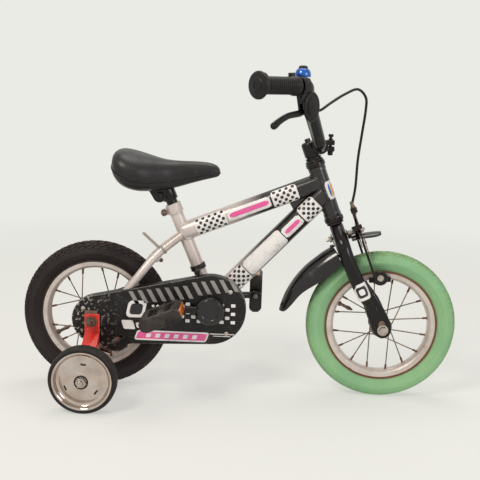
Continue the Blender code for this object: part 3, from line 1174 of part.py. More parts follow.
def lever_bracket(paints, carrier):
    """The lever's housing: a ring on the bar over two cheeks that hold the pivot pin."""
    half = LEVER_HALF_WIDTH
    ring = rod("ring", lever_point(-8, 0), lever_point(8, 0), 2 * LEVER_RING_RADIUS, 10)
    outline = hull_outline((-3, -6), 11, LEVER_PIVOT_PLACE, 12, 5)
    body = plate("brake_lever_bracket", outline, 2 * half, lever_plane(-half))
    oval = [(18 * math.cos(a) - 6, 10 * math.sin(a) - 20) for a in [i * math.tau / 12 for i in range(12)]]
    cap = plate("cap", oval, 3, lever_plane(-half - 2))
    barrel = rod("barrel", lever_point(-14, -33), lever_point(-30, -33), 9, 8)
    slot = block("slot", (60, 34, 7.2), lever_plane(0) @ Matrix.Translation((LEVER_PIVOT_PLACE[0] + 22, -47, 0)))
    bar = pipe("bar", bar_route()[0], BAR_DIAMETER + 2 * SEAT_GAP, 2)
    pin = rod("pin", lever_point(*LEVER_PIVOT_PLACE, -half + 1), lever_point(*LEVER_PIVOT_PLACE, half - 1),
              LEVER_PIN_DIAMETER, 8)
    finish(fuse(cut(fuse(body, ring, cap, barrel), slot, bar), pin), "brake_lever_bracket", paints["black_plastic"], carrier)


def brake_lever(paints, carrier):
    """The lever: an eye on the pin and a bent blade with a ball at its tip."""
    eye = plate("brake_lever", arc((0, 0), 7.5, 0, 330, 11), 6,
                lever_plane(-3) @ Matrix.Translation((*LEVER_PIVOT_PLACE, 0)))
    route = smooth_route([lever_point(LEVER_PIVOT_PLACE[0] + 2, -39), lever_point(4, -46), lever_point(31, -50),
                          lever_point(51, -59), lever_point(64, -67)], 3)
    blade = pipe("blade", route, 9, 2, [0.62] * 3 + [1.0] * (len(route) - 3))
    tip = lever_point(64, -67)
    bm = bmesh.new()
    bmesh.ops.create_uvsphere(bm, u_segments=8, v_segments=6, radius=6.3, matrix=Matrix.Translation(tip))
    hole = drill("hole", lever_point(*LEVER_PIVOT_PLACE, -9), lever_point(*LEVER_PIVOT_PLACE, 9),
               LEVER_PIN_DIAMETER + 2 * SEAT_GAP, 8)
    finish(cut(fuse(eye, blade, as_object("ball", bm)), hole), "brake_lever", paints["black_plastic"], carrier)


def crown_point(ahead, up=0.0, lateral=0.0):
    """A place near the fork crown: ahead along the brake bolt, up the steerer, and lateral."""
    return CROWN + STEER_FORWARD * ahead + STEER_UP * up + ACROSS * lateral


def brake_cable(paints, carrier):
    """The cable's outer, its adjuster barrel in the caliper's stop, and the bare wire below."""
    stop_ahead, stop_up, stop_lateral = CABLE_STOP
    barrel_top = crown_point(stop_ahead, stop_up + 12, stop_lateral)
    leaving = lever_point(-36, -33.5)
    route = [lever_point(-30.4, -33), leaving]
    route += [leaving + Vector(step) for step in CABLE_FROM_LEVER]
    route += [barrel_top + Vector(step) for step in CABLE_TO_STOP]
    outer = pipe("brake_cable", smooth_route(route + [barrel_top], 2), CABLE_DIAMETER, 1)
    barrel = turned("barrel", [(0, -9), (2.7, -9), (2.7, 5.3), (4.6, 5.3), (4.6, 9), (3.4, 13), (0, 13)],
                    facing(STEER_UP, crown_point(stop_ahead, stop_up, stop_lateral)), 10)
    wire = rod("wire", crown_point(stop_ahead, stop_up, stop_lateral), crown_point(stop_ahead, WIRE_ANCHOR_UP - 4, stop_lateral), 2, 6)
    finish(fuse(outer, barrel, wire), "brake_cable", paints["black_plastic"], carrier)


def bell_axis_point():
    """The foot of the bell's post, over the bar between stem and brake lever."""
    return CLAMP + Vector((*BELL_PLACE, BAR_RISE + BELL_ABOVE_BAR))


def bell(paints, carrier, lever_carrier):
    """A thumb bell on an arm from its clamp: base, dome and sprung striker lever."""
    route, _, _ = bar_route()
    spot = next(i for i, point in enumerate(route) if point.y > -130)
    at, along = route[spot], (route[spot - 1] - route[spot + 1]).normalized()
    axis = bell_axis_point()
    band = rod("bell_base", at - along * 5, at + along * 5, BAR_DIAMETER + 8, 10)
    rise = (Vector((0, 0, 1)) - along * along.z).normalized()
    arm = pipe("arm", [at + rise * 8, at + rise * 19, axis - Vector((0, 0, 1))], 8, 2)
    disc = rod("disc", axis + Vector((0, 0, -2)), axis + Vector((0, 0, 2)), 20, 10)
    post = rod("post", axis, axis + Vector((0, 0, 15)), 5, 8)
    bar = pipe("bar", route, BAR_DIAMETER + 2 * SEAT_GAP, 2)
    finish(fuse(cut(fuse(band, arm, disc), bar), post), "bell_base", paints["black_plastic"], carrier)
    profile = [(0, 15 + SEAT_GAP), (4.5, 15 + SEAT_GAP), (9.5, 13.4), (12, 10.5), (12.6, 6), (13.7, 6), (13.2, 11),
               (10.5, 15), (5.6, 17), (5.2, 19), (3.5, 20), (0, 20)]
    finish(turned("bell_dome", profile, Matrix.Translation(axis), 14), "bell_dome", paints["blue_metal"], carrier)
    ring = rod("bell_lever", axis + Vector((0, 0, 2.5)), axis + Vector((0, 0, 5)), 12, 12)
    way = Vector((-23, -20, 0)).normalized()
    turn = Matrix.Rotation(math.atan2(way.y, way.x), 4, "Z")
    reach = block("reach", (24, 5, 2.4), Matrix.Translation(axis + way * 14 + Vector((0, 0, 3.75))) @ turn)
    pad = rod("pad", axis + way * 26 + Vector((0, 0, 2.6)), axis + way * 27 + Vector((0, 0, 12)), 12, 8)
    hole = drill("hole", axis, axis + Vector((0, 0, 9)), 5 + 2 * SEAT_GAP, 8)
    finish(cut(fuse(ring, reach, pad), hole), "bell_lever", paints["black_plastic"], lever_carrier)


# Front brake and mudguards

RIGHT_ARM_AHEAD = LEFT_ARM_AHEAD + ARM_THICKNESS + RUNNING_GAP


def pad_stud_up():
    """How far up the steerer from the crown the pads' studs lie, so that the pads meet the rim."""
    start = CROWN + STEER_FORWARD * PAD_STUD_AHEAD - FRONT_AXLE
    radius = RIM_RADIUS - PAD_BELOW_RIM_EDGE + PAD_STUD_ABOVE_PAD
    return math.sqrt(radius ** 2 - start.dot(STEER_FORWARD) ** 2) - start.dot(STEER_UP)


def strip_plate(name, points, width, ahead):
    """A flat arm of even width along (lateral, up) points, in a plane square to the brake bolt."""
    turn = Matrix((ACROSS, STEER_UP, -STEER_FORWARD)).transposed().to_4x4()
    place = Matrix.Translation(CROWN + STEER_FORWARD * (ahead + ARM_THICKNESS - 0.3)) @ turn
    return plate(name, strip_outline(points, width), ARM_THICKNESS - 0.6, place)


def brake_bolt(paints, carrier):
    """The bolt through the fork crown on which both brake arms turn."""
    bolt = rod("brake_pivot_bolt", crown_point(-28), crown_point(51), BRAKE_BOLT_DIAMETER, 10)
    nut_start = RIGHT_ARM_AHEAD + ARM_THICKNESS + RUNNING_GAP
    rings = [rod("rear_nut", crown_point(-22), crown_point(-16.5 - SEAT_GAP), 12, 6),
             rod("spacer", crown_point(16.5 + SEAT_GAP), crown_point(LEFT_ARM_AHEAD - RUNNING_GAP), 11, 12),
             rod("washer", crown_point(nut_start), crown_point(nut_start + 1.5), 14, 12),
             rod("front_nut", crown_point(nut_start + 1.4), crown_point(nut_start + 7), 12, 6)]
    finish(fuse(bolt, *rings), "brake_pivot_bolt", paints["zinc"], carrier)


def caliper_arm(paints, side, carrier):
    """One brake arm. The right arm carries the cable stop, and the left arm the wire's anchor."""
    right = side < 0
    name = "caliper_arm_right" if right else "caliper_arm_left"
    ahead = RIGHT_ARM_AHEAD if right else LEFT_ARM_AHEAD
    stud_ahead, stud_up = PAD_STUD_AHEAD, pad_stud_up()
    down = [(side * 22, 0), (side * 34, -16), (side * 36, stud_up * 0.63), (side * 34, stud_up - 2)]
    crossing = [(-30, 45), (-13, 16)] if right else [(-31, WIRE_ANCHOR_UP), (-14, 6)]
    arm = strip_plate(name, crossing + [(0, 0)] + down, ARM_WIDTH, ahead)
    hub = rod("hub", crown_point(ahead), crown_point(ahead + ARM_THICKNESS), 15, 10)
    lug = block("lug", (stud_ahead - ahead + 8, 5, 14),
                Matrix.Translation(crown_point((stud_ahead + ahead + 8) / 2, stud_up, side * 34))
                @ Matrix.Rotation(math.radians(HEAD_ANGLE - 90), 4, "Y"))
    solids = [hub, lug]
    holes = [drill("pivot", crown_point(20), crown_point(60), BRAKE_BOLT_DIAMETER + 2 * RUNNING_GAP, 10),
             drill("stud", crown_point(stud_ahead, stud_up, side * 20), crown_point(stud_ahead, stud_up, side * 50),
                 6 + 2 * SEAT_GAP, 8)]
    stop_ahead, stop_up, stop_lateral = CABLE_STOP
    if right:
        stop_at = crown_point(stop_ahead, stop_up, stop_lateral)
        solids.append(rod("stop", stop_at - STEER_UP * 5, stop_at + STEER_UP * 5, 13, 12))
        holes.append(drill("stop_hole", stop_at - STEER_UP * 20, stop_at + STEER_UP * 20, 5.4 + 2 * SEAT_GAP, 8))
    else:
        solids.append(rod("anchor", crown_point(ahead - 4, WIRE_ANCHOR_UP, stop_lateral),
                          crown_point(stop_ahead + 5, WIRE_ANCHOR_UP, stop_lateral),
                          9, 8))
        holes.append(drill("wire_hole", crown_point(stop_ahead, -8, stop_lateral), crown_point(stop_ahead, 50, stop_lateral),
                         2 + 2 * SEAT_GAP, 8))
    finish(cut(fuse(arm, *solids), *holes), name, paints["black_paint"], carrier)


def brake_pad(paints, side, carrier):
    """A rubber block facing the rim, with its stud and nut through the arm."""
    name = "brake_pad_right" if side < 0 else "brake_pad_left"
    stud = crown_point(PAD_STUD_AHEAD, pad_stud_up())
    radial = (stud - FRONT_AXLE).normalized()
    tangent = Vector((radial.z, 0, -radial.x))
    near = RIM_WIDTH / 2 + PAD_CLEARANCE
    turn = Matrix((tangent, ACROSS, radial)).transposed().to_4x4()
    centre = FRONT_AXLE + radial * (RIM_RADIUS - PAD_BELOW_RIM_EDGE)
    pad = block(name, (42, 9, 9), Matrix.Translation(centre + ACROSS * side * (near + 4.5)) @ turn)
    holder = block("holder", (30, 3, 8), Matrix.Translation(centre + ACROSS * side * (near + 10)) @ turn)
    shank = rod("shank", stud + ACROSS * side * (near + 7), stud + ACROSS * side * 44, 6, 8)
    washer = rod("washer", stud + ACROSS * side * (36.5 + SEAT_GAP), stud + ACROSS * side * 38.2, 13, 10)
    nut = rod("nut", stud + ACROSS * side * 38, stud + ACROSS * side * 42.5, 11.5, 6)
    back = rod("back", stud + ACROSS * side * (near + 8), stud + ACROSS * side * (31.5 - SEAT_GAP), 12, 10)
    finish(fuse(pad, holder, shank, washer, nut, back), name, paints["black_plastic"], carrier)


def mudguard(name, stations, material, carrier, tab):
    """A thin U-shaped guard over the tyre.

    Stations hold (degrees from the crown, crest out from the crown, half width, depth)."""
    spoke = CROWN - FRONT_AXLE
    lean = math.degrees(math.atan2(spoke.z, spoke.x))
    stations = [(lean + angle, spoke.length + crest, half, depth) for angle, crest, half, depth in stations]
    rings = []
    for angle, crest, half, depth in stations:
        out = Vector((math.cos(math.radians(angle)), 0, math.sin(math.radians(angle))))
        outer, inner = [], []
        for step in range(9):
            t = math.radians(-90 + 22.5 * step)
            drop = 1 - math.cos(t)
            outer.append(FRONT_AXLE + out * (crest - depth * drop) + ACROSS * half * math.sin(t))
            inner.append(FRONT_AXLE + out * (crest - 2 - (depth - 2) * drop) + ACROSS * (half - 2) * math.sin(t))
        rings.append(outer + list(reversed(inner)))
    shell = loft(name, rings)
    ahead, low, high, reach, join = tab
    turn = Matrix.Rotation(math.radians(HEAD_ANGLE - 90), 4, "Y")
    upright = block("upright", (2, 16, high - low), Matrix.Translation(crown_point(ahead, (low + high) / 2)) @ turn)
    level = block("level", (abs(reach), 14, 2.4), Matrix.Translation(crown_point(ahead + reach / 2, join)) @ turn)
    hole = drill("hole", crown_point(-60), crown_point(60), BRAKE_BOLT_DIAMETER + 2 * SEAT_GAP, 8)
    finish(cut(fuse(shell, upright, level), hole), name, material, carrier)


def mudguards(paints, carrier):
    rear = [(6.5, -11, 29, 26), (15, -9, 31, 30), (25, -6, 31.5, 34), (35, -1, 31, 36), (43, 2, 29, 32),
            (50, 5, 25, 22), (55, 7, 19, 13), (57, 7.5, 12, 8)]
    mudguard("mudguard_rear", rear, paints["black_plastic"], carrier, (-15.5, -15.4, 9, -10, -14.6))
    front = [(-5.8, -8, 19, 7), (-12, -8, 19, 7.5), (-18, -8, 19, 8), (-22, -8, 17, 7), (-24, -8, 12, 5)]
    mudguard("mudguard_front", front, paints["black_plastic"], carrier, (15.5, -10, 8, 6, -8.6))


# Saddle

SADDLE_BOLT = SEAT_TUBE_END + SEAT_UP * SADDLE_BOLT_UP + Vector((-SEAT_UP.z, 0, SEAT_UP.x)) * SADDLE_BOLT_BACK


def seat_post(paints, carrier):
    top = SEAT_TUBE_END + SEAT_UP * POST_SHOWING
    body = rod("body", top - SEAT_UP * POST_LENGTH, top, POST_DIAMETER, 14)
    hollow = rod("hollow", top - SEAT_UP * (POST_LENGTH + 5), top - SEAT_UP * 4, POST_DIAMETER - 3.2, 12)
    finish(cut(body, hollow), "seat_post", paints["zinc"], carrier)
    half = CLAMP_DRUM_WIDTH / 2
    drum = rod("saddle_clamp", SADDLE_BOLT - ACROSS * half, SADDLE_BOLT + ACROSS * half, 24, 14)
    sleeve = rod("sleeve", SEAT_TUBE_END + SEAT_UP * 11, SEAT_TUBE_END + SEAT_UP * 39, POST_DIAMETER + 7, 14)
    bore = drill("bore", SEAT_TUBE_END, top + SEAT_UP * SEAT_GAP, POST_DIAMETER + 2 * SEAT_GAP, 14)
    bolt = rod("bolt", SADDLE_BOLT - ACROSS * 27, SADDLE_BOLT + ACROSS * 29, 8, 8)
    nuts = [plate("nut", hexagon(13), 5, across(SADDLE_BOLT + ACROSS * side * (half + 3 + 2 * SEAT_GAP), side))
            for side in (-1, 1)]
    finish(fuse(cut(fuse(drum, sleeve), bore), bolt, *nuts), "saddle_clamp", paints["zinc"], carrier)


def saddle_ring(x, top, low, half, count=16):
    """One lateral section of the saddle: a domed top over sides that fall to a flatter base."""
    ring = []
    middle = low + (top - low) * 0.45
    for index in range(count):
        t = index * math.tau / count
        c, s = math.cos(t), math.sin(t)
        y = half * math.copysign(abs(c) ** 0.72, c)
        rise = (top - middle) * abs(s) ** 0.9 if s >= 0 else -(middle - low) * abs(s) ** 0.55
        ring.append(Vector((x, y, middle + rise)))
    return ring


def saddle(paints, carrier):
    """A padded saddle, hollow below, on a steel frame with two cheeks over the clamp.

    Stations are (share of the length from the bolt, top and low edge above the bolt, share of the half width)."""
    stations = [(-0.458, 68.6, 56.6, 0.310), (-0.446, 77.6, 45.6, 0.592), (-0.413, 85.1, 33.6, 0.817),
                (-0.356, 87.6, 22.6, 0.944), (-0.275, 85.6, 14.6, 1.000), (-0.181, 80.6, 11.1, 0.965),
                (-0.086, 74.6, 10.6, 0.831), (-0.000, 70.1, 11.6, 0.634), (0.085, 67.6, 14.1, 0.458),
                (0.175, 67.1, 18.6, 0.352), (0.279, 67.1, 26.6, 0.289), (0.383, 66.6, 33.6, 0.254),
                (0.464, 63.6, 38.6, 0.225), (0.516, 57.6, 41.6, 0.169), (0.542, 50.6, 44.6, 0.070)]
    stations = [(SADDLE_BOLT.x + x * SADDLE_LENGTH, SADDLE_BOLT.z + top, SADDLE_BOLT.z + low, half * SADDLE_WIDTH / 2)
                for x, top, low, half in stations]
    body = loft("saddle", [saddle_ring(*station) for station in stations])
    inside = [(x, top - SADDLE_WALL, low - 24, half - 6) for x, top, low, half in stations[3:10]]
    hollow = loft("hollow", [saddle_ring(*station, 12) for station in inside])
    finish(cut(body, hollow), "saddle", paints["black_vinyl"], carrier)
    near = CLAMP_DRUM_WIDTH / 2 + SEAT_GAP
    eye = (SADDLE_BOLT.x, SADDLE_BOLT.z)
    outline = arc(eye, 13, 200, 340, 10)
    outline += [(eye[0] + x, eye[1] + z) for x, z in ((12.9, 35.6), (12.9, 44.6), (-37.1, 44.6), (-37.1, 35.6))]
    right = plate("saddle_frame", outline, 3, across((0, -near, 0), -1))
    left = plate("left", outline, 3, across((0, near + 3, 0), -1))
    deck = block("deck", (50, 2 * near + 6, 3), Matrix.Translation(SADDLE_BOLT + Vector((-12.1, 0, 43.1))))
    pad = block("pad", (30, 16, 10), Matrix.Translation(SADDLE_BOLT + Vector((-12.1, 0, 48.5))))
    hole = drill("hole", SADDLE_BOLT - ACROSS * 40, SADDLE_BOLT + ACROSS * 40, 8 + 2 * SEAT_GAP, 8)
    finish(cut(fuse(right, left, deck, pad), hole), "saddle_frame", paints["zinc"], carrier)


def main():
    remove_everything()
    paints = materials()
    steering = joint_empty("steering_axis", HEAD_BASE)
    front = joint_empty("front_wheel_axis", FRONT_AXLE)
    rear = joint_empty("rear_wheel_axis", REAR_AXLE)
    crank_axis = joint_empty("crank_axis", BB)
    lever_axis = joint_empty("brake_lever_axis", lever_point(*LEVER_PIVOT_PLACE))
    brake_axis = joint_empty("brake_arm_axis", CROWN)
    bell_axis = joint_empty("bell_lever_axis", bell_axis_point())
    post_axis = joint_empty("seat_post_axis", SEAT_TUBE_END)
    tilt_axis = joint_empty("saddle_tilt_axis", SADDLE_BOLT)
    main_frame(paints)
    headset(paints, steering)
    seat_collar(paints)
    bottom_bracket(paints)
    chain_guard(paints)
    guard_strap(paints)
    chain(paints["chain_steel"])
    rear_axle(paints)
    coaster_brake_arm(paints)
    arm_clip(paints)
    small_fittings(paints)
    front_wheel(paints, front)
    rear_wheel(paints, rear)
    rear_sprocket(paints, rear)
    chainring(paints, crank_axis)
    crank(paints, crank_axis)
    crank_cap(paints, crank_axis)
    for side, angle in ((-1, RIGHT_PEDAL_ANGLE), (1, LEFT_PEDAL_ANGLE)):
        name = "right" if side < 0 else "left"
        pedal_spindle(paints, side, crank_axis)
        pedal(paints, side, angle, joint_empty("pedal_axis_" + name, crank_end(side)))
        training_bracket(paints, side)
        training_wheel(paints, side, joint_empty("training_wheel_axis_" + name, training_axle(side)))
        caliper_arm(paints, side, brake_axis)
        brake_pad(paints, side, brake_axis)
    fork(paints, steering)
    front_axle(paints, steering)
    mudguards(paints, steering)
    brake_bolt(paints, steering)
    stem(paints, steering)
    handlebar(paints, steering)
    lever_bracket(paints, steering)
    brake_lever(paints, lever_axis)
    brake_cable(paints, steering)
    bell(paints, steering, bell_axis)
    seat_post(paints, post_axis)
    saddle(paints, tilt_axis)


main()
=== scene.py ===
"""The looks of a small child's bicycle with training wheels, built round its CAD frame."""

from math import asin, atan2, cos, pi, radians, sin, sqrt, tau

import bpy
from bpy.props import FloatProperty, FloatVectorProperty, IntProperty, PointerProperty
from mathutils import Matrix, Vector


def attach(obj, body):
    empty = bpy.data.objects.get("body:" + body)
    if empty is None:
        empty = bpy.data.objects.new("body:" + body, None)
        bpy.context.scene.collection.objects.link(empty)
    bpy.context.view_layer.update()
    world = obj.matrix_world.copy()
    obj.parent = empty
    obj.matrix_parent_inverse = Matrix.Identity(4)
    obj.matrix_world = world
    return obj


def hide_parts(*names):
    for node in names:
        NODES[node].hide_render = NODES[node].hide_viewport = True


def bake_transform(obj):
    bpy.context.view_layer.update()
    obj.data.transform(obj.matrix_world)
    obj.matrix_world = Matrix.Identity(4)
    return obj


bl_info = {
    "name": "Kids bike looks",
    "version": (1, 0, 0),
    "blender": (4, 5, 0),
    "location": "View3D > Sidebar > Bike",
    "description": "Builds the visible pieces of a child's bicycle over its CAD frame",
    "category": "Object",
}

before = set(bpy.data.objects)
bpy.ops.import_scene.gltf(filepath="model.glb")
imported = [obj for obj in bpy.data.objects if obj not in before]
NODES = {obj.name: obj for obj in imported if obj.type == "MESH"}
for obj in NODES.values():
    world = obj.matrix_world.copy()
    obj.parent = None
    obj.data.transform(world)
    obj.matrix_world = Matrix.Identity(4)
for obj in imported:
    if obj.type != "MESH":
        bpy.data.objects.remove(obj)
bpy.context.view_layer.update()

# Main places and sizes, in millimetres: X ahead, Y to the bicycle's left, Z up

MM = 0.001
RIGHT, LEFT = -1, 1
SIDE_NAMES = {RIGHT: "right", LEFT: "left"}
ACROSS = Vector((0, 1, 0))
UP = Vector((0, 0, 1))


def sloped(angle):
    """A direction in the side plane, angle degrees up from straight back."""
    return Vector((-cos(radians(angle)), 0, sin(radians(angle))))


REAR_AXLE = Vector((-284, 0, 148))
FRONT_AXLE = Vector((284, 0, 148))
BB = Vector((-51.985, 0, 179))
SEAT_UP = sloped(67)
SEAT_BACK = Vector((-SEAT_UP.z, 0, SEAT_UP.x))
SEAT_TUBE_END = BB + SEAT_UP * 211
SADDLE_BOLT = SEAT_TUBE_END + SEAT_UP * 27.2 + SEAT_BACK * 15.05
STEER_UP = sloped(68.8)
STEER_FORWARD = Vector((STEER_UP.z, 0, -STEER_UP.x))
HEAD_BASE = Vector((179.4, 0, 362.7))
HEAD_TOP = HEAD_BASE + STEER_UP * 101
CROWN = HEAD_BASE - STEER_UP * 43
CLAMP = HEAD_TOP + STEER_UP * 36.8 + STEER_FORWARD * 20
BAR_INWARD = Vector((sin(radians(47)), -cos(radians(47)), 0))
BAR_END = CLAMP + Vector((-122.2, 233, 113.6))


def mirrored(point, side):
    """A place given for the left side, moved to the given side."""
    return Vector((point[0], side * point[1], point[2]))


def ray(angle):
    """The direction at an angle in the wheels' plane, in radians."""
    return Vector((cos(angle), 0, sin(angle)))


def crown_point(ahead, up=0.0, lateral=0.0):
    """A place near the fork crown: ahead along the brake bolt, up the steerer, and lateral."""
    return CROWN + STEER_FORWARD * ahead + STEER_UP * up + ACROSS * lateral


# Modelling helpers, all of which leave a piece at the origin with its place in its mesh

def pick(*pieces):
    """Selects these pieces alone and makes the first of them the active one."""
    active = bpy.context.view_layer.objects.active
    if active is not None and active.mode != "OBJECT":
        bpy.ops.object.mode_set(mode="OBJECT")
    bpy.ops.object.select_all(action="DESELECT")
    for piece in pieces:
        piece.select_set(True)
    if pieces:
        bpy.context.view_layer.objects.active = pieces[0]


def edit_all():
    """Opens the active piece's mesh with all of it selected."""
    bpy.ops.object.mode_set(mode="EDIT")
    bpy.ops.mesh.select_all(action="SELECT")


def edit_done():
    bpy.ops.object.mode_set(mode="OBJECT")


def added(name):
    """The piece that an operator has just made, under its name."""
    piece = bpy.context.view_layer.objects.active
    piece.name = name
    return piece


def tidy(piece, gap=0.00001):
    """Merges doubled points and turns all faces outwards."""
    pick(piece)
    edit_all()
    bpy.ops.mesh.remove_doubles(threshold=gap)
    bpy.ops.mesh.normals_make_consistent(inside=False)
    edit_done()
    return piece


def directions(axis):
    """Two directions square to an axis, and the axis itself."""
    along = Vector(axis).normalized()
    guide = UP if abs(along.z) < 0.9 else Vector((1, 0, 0))
    first = guide.cross(along).normalized()
    return first, along.cross(first), along


def turned(name, centre, axis, outline, steps=48):
    """A closed outline of (radius, along) points spun round an axis."""
    pick()
    bpy.ops.mesh.primitive_circle_add(vertices=len(outline), radius=0.001)
    piece = added(name)
    side, _, along = directions(axis)
    middle = Vector(centre) * MM
    for vertex, (radius, reach) in zip(piece.data.vertices, outline):
        vertex.co = middle + (side * radius + along * reach) * MM
    edit_all()
    bpy.ops.mesh.spin(steps=steps, angle=tau, center=middle, axis=along)
    edit_done()
    return tidy(piece)


def smooth_route(points, per_span=5):
    """Points on a curve through the given ones, of any number of coordinates."""
    rows = [Vector(point) for point in points]
    rows = [rows[0] * 2 - rows[1]] + rows + [rows[-1] * 2 - rows[-2]]
    route = []
    for index in range(1, len(rows) - 2):
        before, start, end, after = rows[index - 1:index + 3]
        for step in range(per_span):
            t = step / per_span
            route.append(0.5 * ((2 * start) + (end - before) * t
                                + (2 * before - 5 * start + 4 * end - after) * t ** 2
                                + (3 * start - before - 3 * end + after) * t ** 3))
    return route + [rows[-2]]


def tube(name, points, radius, taper=None, sides=16):
    """A round bar along points; taper holds each point's share of the radius."""
    pick()
    bpy.ops.curve.primitive_bezier_curve_add()
    piece = added(name)
    curve = piece.data
    curve.splines.clear()
    spline = curve.splines.new("POLY")
    spline.points.add(len(points) - 1)
    for index, point in enumerate(points):
        spline.points[index].co = (point[0] * MM, point[1] * MM, point[2] * MM, 1)
        spline.points[index].radius = taper[index] if taper else 1.0
    curve.bevel_depth = radius * MM
    curve.bevel_resolution = max(0, sides // 2 - 2)
    curve.use_fill_caps = True
    bpy.ops.object.convert(target="MESH")
    return tidy(bpy.context.view_layer.objects.active)


def bar(name, start, end, radius, sides=24, edge=0.6):
    """A straight round bar with softened ends."""
    length = (Vector(end) - Vector(start)).length
    edge = min(edge, radius * 0.4, length * 0.3)
    outline = [(0, 0), (radius - edge, 0), (radius - edge * 0.3, edge * 0.3), (radius, edge),
               (radius, length - edge),
               (radius - edge * 0.3, length - edge * 0.3), (radius - edge, length), (0, length)]
    return turned(name, start, Vector(end) - Vector(start), outline, sides)


def round_edges(piece, width, segments=2, angle=30):
    """Rounds the edges that turn by more than angle degrees."""
    pick(piece)
    bevel = piece.modifiers.new("rounded", "BEVEL")
    bevel.width = width * MM
    bevel.segments = segments
    bevel.limit_method = "ANGLE"
    bevel.angle_limit = radians(angle)
    bpy.ops.object.modifier_apply(modifier=bevel.name)
    return piece


def plate(name, outline, origin, across, up, thickness, edge=0.4, segments=2):
    """A flat outline of (across, up) points, thickened along across x up, with rounded edges."""
    pick()
    bpy.ops.mesh.primitive_circle_add(vertices=len(outline), radius=0.001, fill_type="NGON")
    piece = added(name)
    across, up = Vector(across).normalized(), Vector(up).normalized()
    for vertex, (u, v) in zip(piece.data.vertices, outline):
        vertex.co = (Vector(origin) + across * u + up * v) * MM
    edit_all()
    bpy.ops.mesh.extrude_region_move(TRANSFORM_OT_translate={"value": across.cross(up) * thickness * MM})
    edit_done()
    tidy(piece)
    return round_edges(piece, edge, segments) if edge else piece


def block(name, centre, size, axes=None, edge=0.5, segments=2):
    """A box with rounded edges, turned to three axes."""
    pick()
    bpy.ops.mesh.primitive_cube_add(size=1)
    piece = added(name)
    axes = axes or (Vector((1, 0, 0)), ACROSS, UP)
    for vertex in piece.data.vertices:
        offset = sum((axes[i] * vertex.co[i] * size[i] for i in range(3)), Vector())
        vertex.co = (Vector(centre) + offset) * MM
    return round_edges(tidy(piece), edge, segments) if edge else tidy(piece)


def skinned(name, rings, closed=True):
    """A skin over rings of equally many points, as a grid primitive laid on them; closed rings join up."""
    pick()
    rows, columns = len(rings), len(rings[0]) + (1 if closed else 0)
    bpy.ops.mesh.primitive_grid_add(x_subdivisions=columns - 1, y_subdivisions=rows - 1, size=1)
    piece = added(name)
    for index, vertex in enumerate(piece.data.vertices):
        ring = rings[index // columns]
        vertex.co = Vector(ring[index % columns % len(ring)]) * MM
    if not closed:
        return piece
    tidy(piece)
    pick(piece)
    bpy.ops.object.mode_set(mode="EDIT")
    bpy.ops.mesh.select_mode(type="EDGE")
    bpy.ops.mesh.select_all(action="DESELECT")
    bpy.ops.mesh.select_non_manifold()
    bpy.ops.mesh.edge_face_add()
    bpy.ops.mesh.select_all(action="SELECT")
    bpy.ops.mesh.normals_make_consistent(inside=False)
    bpy.ops.mesh.select_mode(type="VERT")
    edit_done()
    return piece


def joined(name, *pieces):
    """Several bodies made one object."""
    pick(*pieces)
    if len(pieces) > 1:
        bpy.ops.object.join()
    return added(name)


def copied(piece, matrix):
    """A copy with its own mesh, moved by a matrix in millimetres."""
    pick(piece)
    bpy.ops.object.duplicate()
    copy = bpy.context.view_layer.objects.active
    place = Matrix.Translation(matrix.to_translation() * MM) @ matrix.to_3x3().to_4x4()
    copy.data.transform(place)
    return copy


def turn_about(centre, axis, angle):
    """A turn by angle degrees about an axis through centre."""
    centre = Vector(centre)
    return Matrix.Translation(centre) @ Matrix.Rotation(radians(angle), 4, axis) @ Matrix.Translation(-centre)


def subdivided(piece, levels=1):
    """A subdivision surface, applied."""
    pick(piece)
    skin = piece.modifiers.new("skin", "SUBSURF")
    skin.levels = skin.render_levels = levels
    bpy.ops.object.modifier_apply(modifier=skin.name)
    return piece


def dress(piece, name, body, slot, replaces=(), angle=35, look=None):
    """Names a piece, shades it, gives it its finish and sets it on its CAD body, if it rides on one alone."""
    pick(piece)
    piece.name = name
    piece.data.materials.clear()
    piece.data.materials.append(finish(look or slot))
    bpy.ops.object.shade_smooth_by_angle(angle=radians(angle))
    if body:
        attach(piece, body)
    if replaces:
        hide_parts(*replaces)
    return piece


def refined(node, body, slot, edge=0.4, angle=35, look=None):
    """A copy of a CAD node with its flat faces made whole and its edges rounded, which stands for it."""
    pick(NODES[node])
    bpy.ops.object.duplicate()
    piece = bpy.context.view_layer.objects.active
    for key in list(piece.keys()):
        del piece[key]
    piece.parent = None
    bpy.ops.mesh.customdata_custom_splitnormals_clear()
    edit_all()
    bpy.ops.mesh.remove_doubles(threshold=0.00002)
    bpy.ops.mesh.normals_make_consistent(inside=False)
    bpy.ops.mesh.dissolve_limited(angle_limit=radians(1.5))
    edit_done()
    if edge:
        round_edges(piece, edge, 2, 25)
    return dress(piece, node + "_finished", body, slot, [node], angle, look)


def nut(name, centre, axis, across_flats, height, washer=0.0):
    """A hexagonal nut with chamfered corners, on a washer if one is asked for."""
    first, second, along = directions(axis)
    corner = across_flats / sqrt(3)
    outline = [(corner * cos(i * tau / 6), corner * sin(i * tau / 6)) for i in range(6)]
    piece = plate(name, outline, Vector(centre), first, second, height, 0.7, 2)
    if washer:
        disc = bar(name + "_washer", Vector(centre) - along * 1.4, Vector(centre) + along * 0.2, washer, 24,
                0.4)
        piece = joined(name, piece, disc)
    return piece


# Colours and shared effects

def colour(red, green, blue):
    """A colour given as it looks on a screen, 0 to 255, as Blender's linear colour."""
    def linear(value):
        value /= 255
        return value / 12.92 if value <= 0.04045 else ((value + 0.055) / 1.055) ** 2.4
    return linear(red), linear(green), linear(blue), 1.0


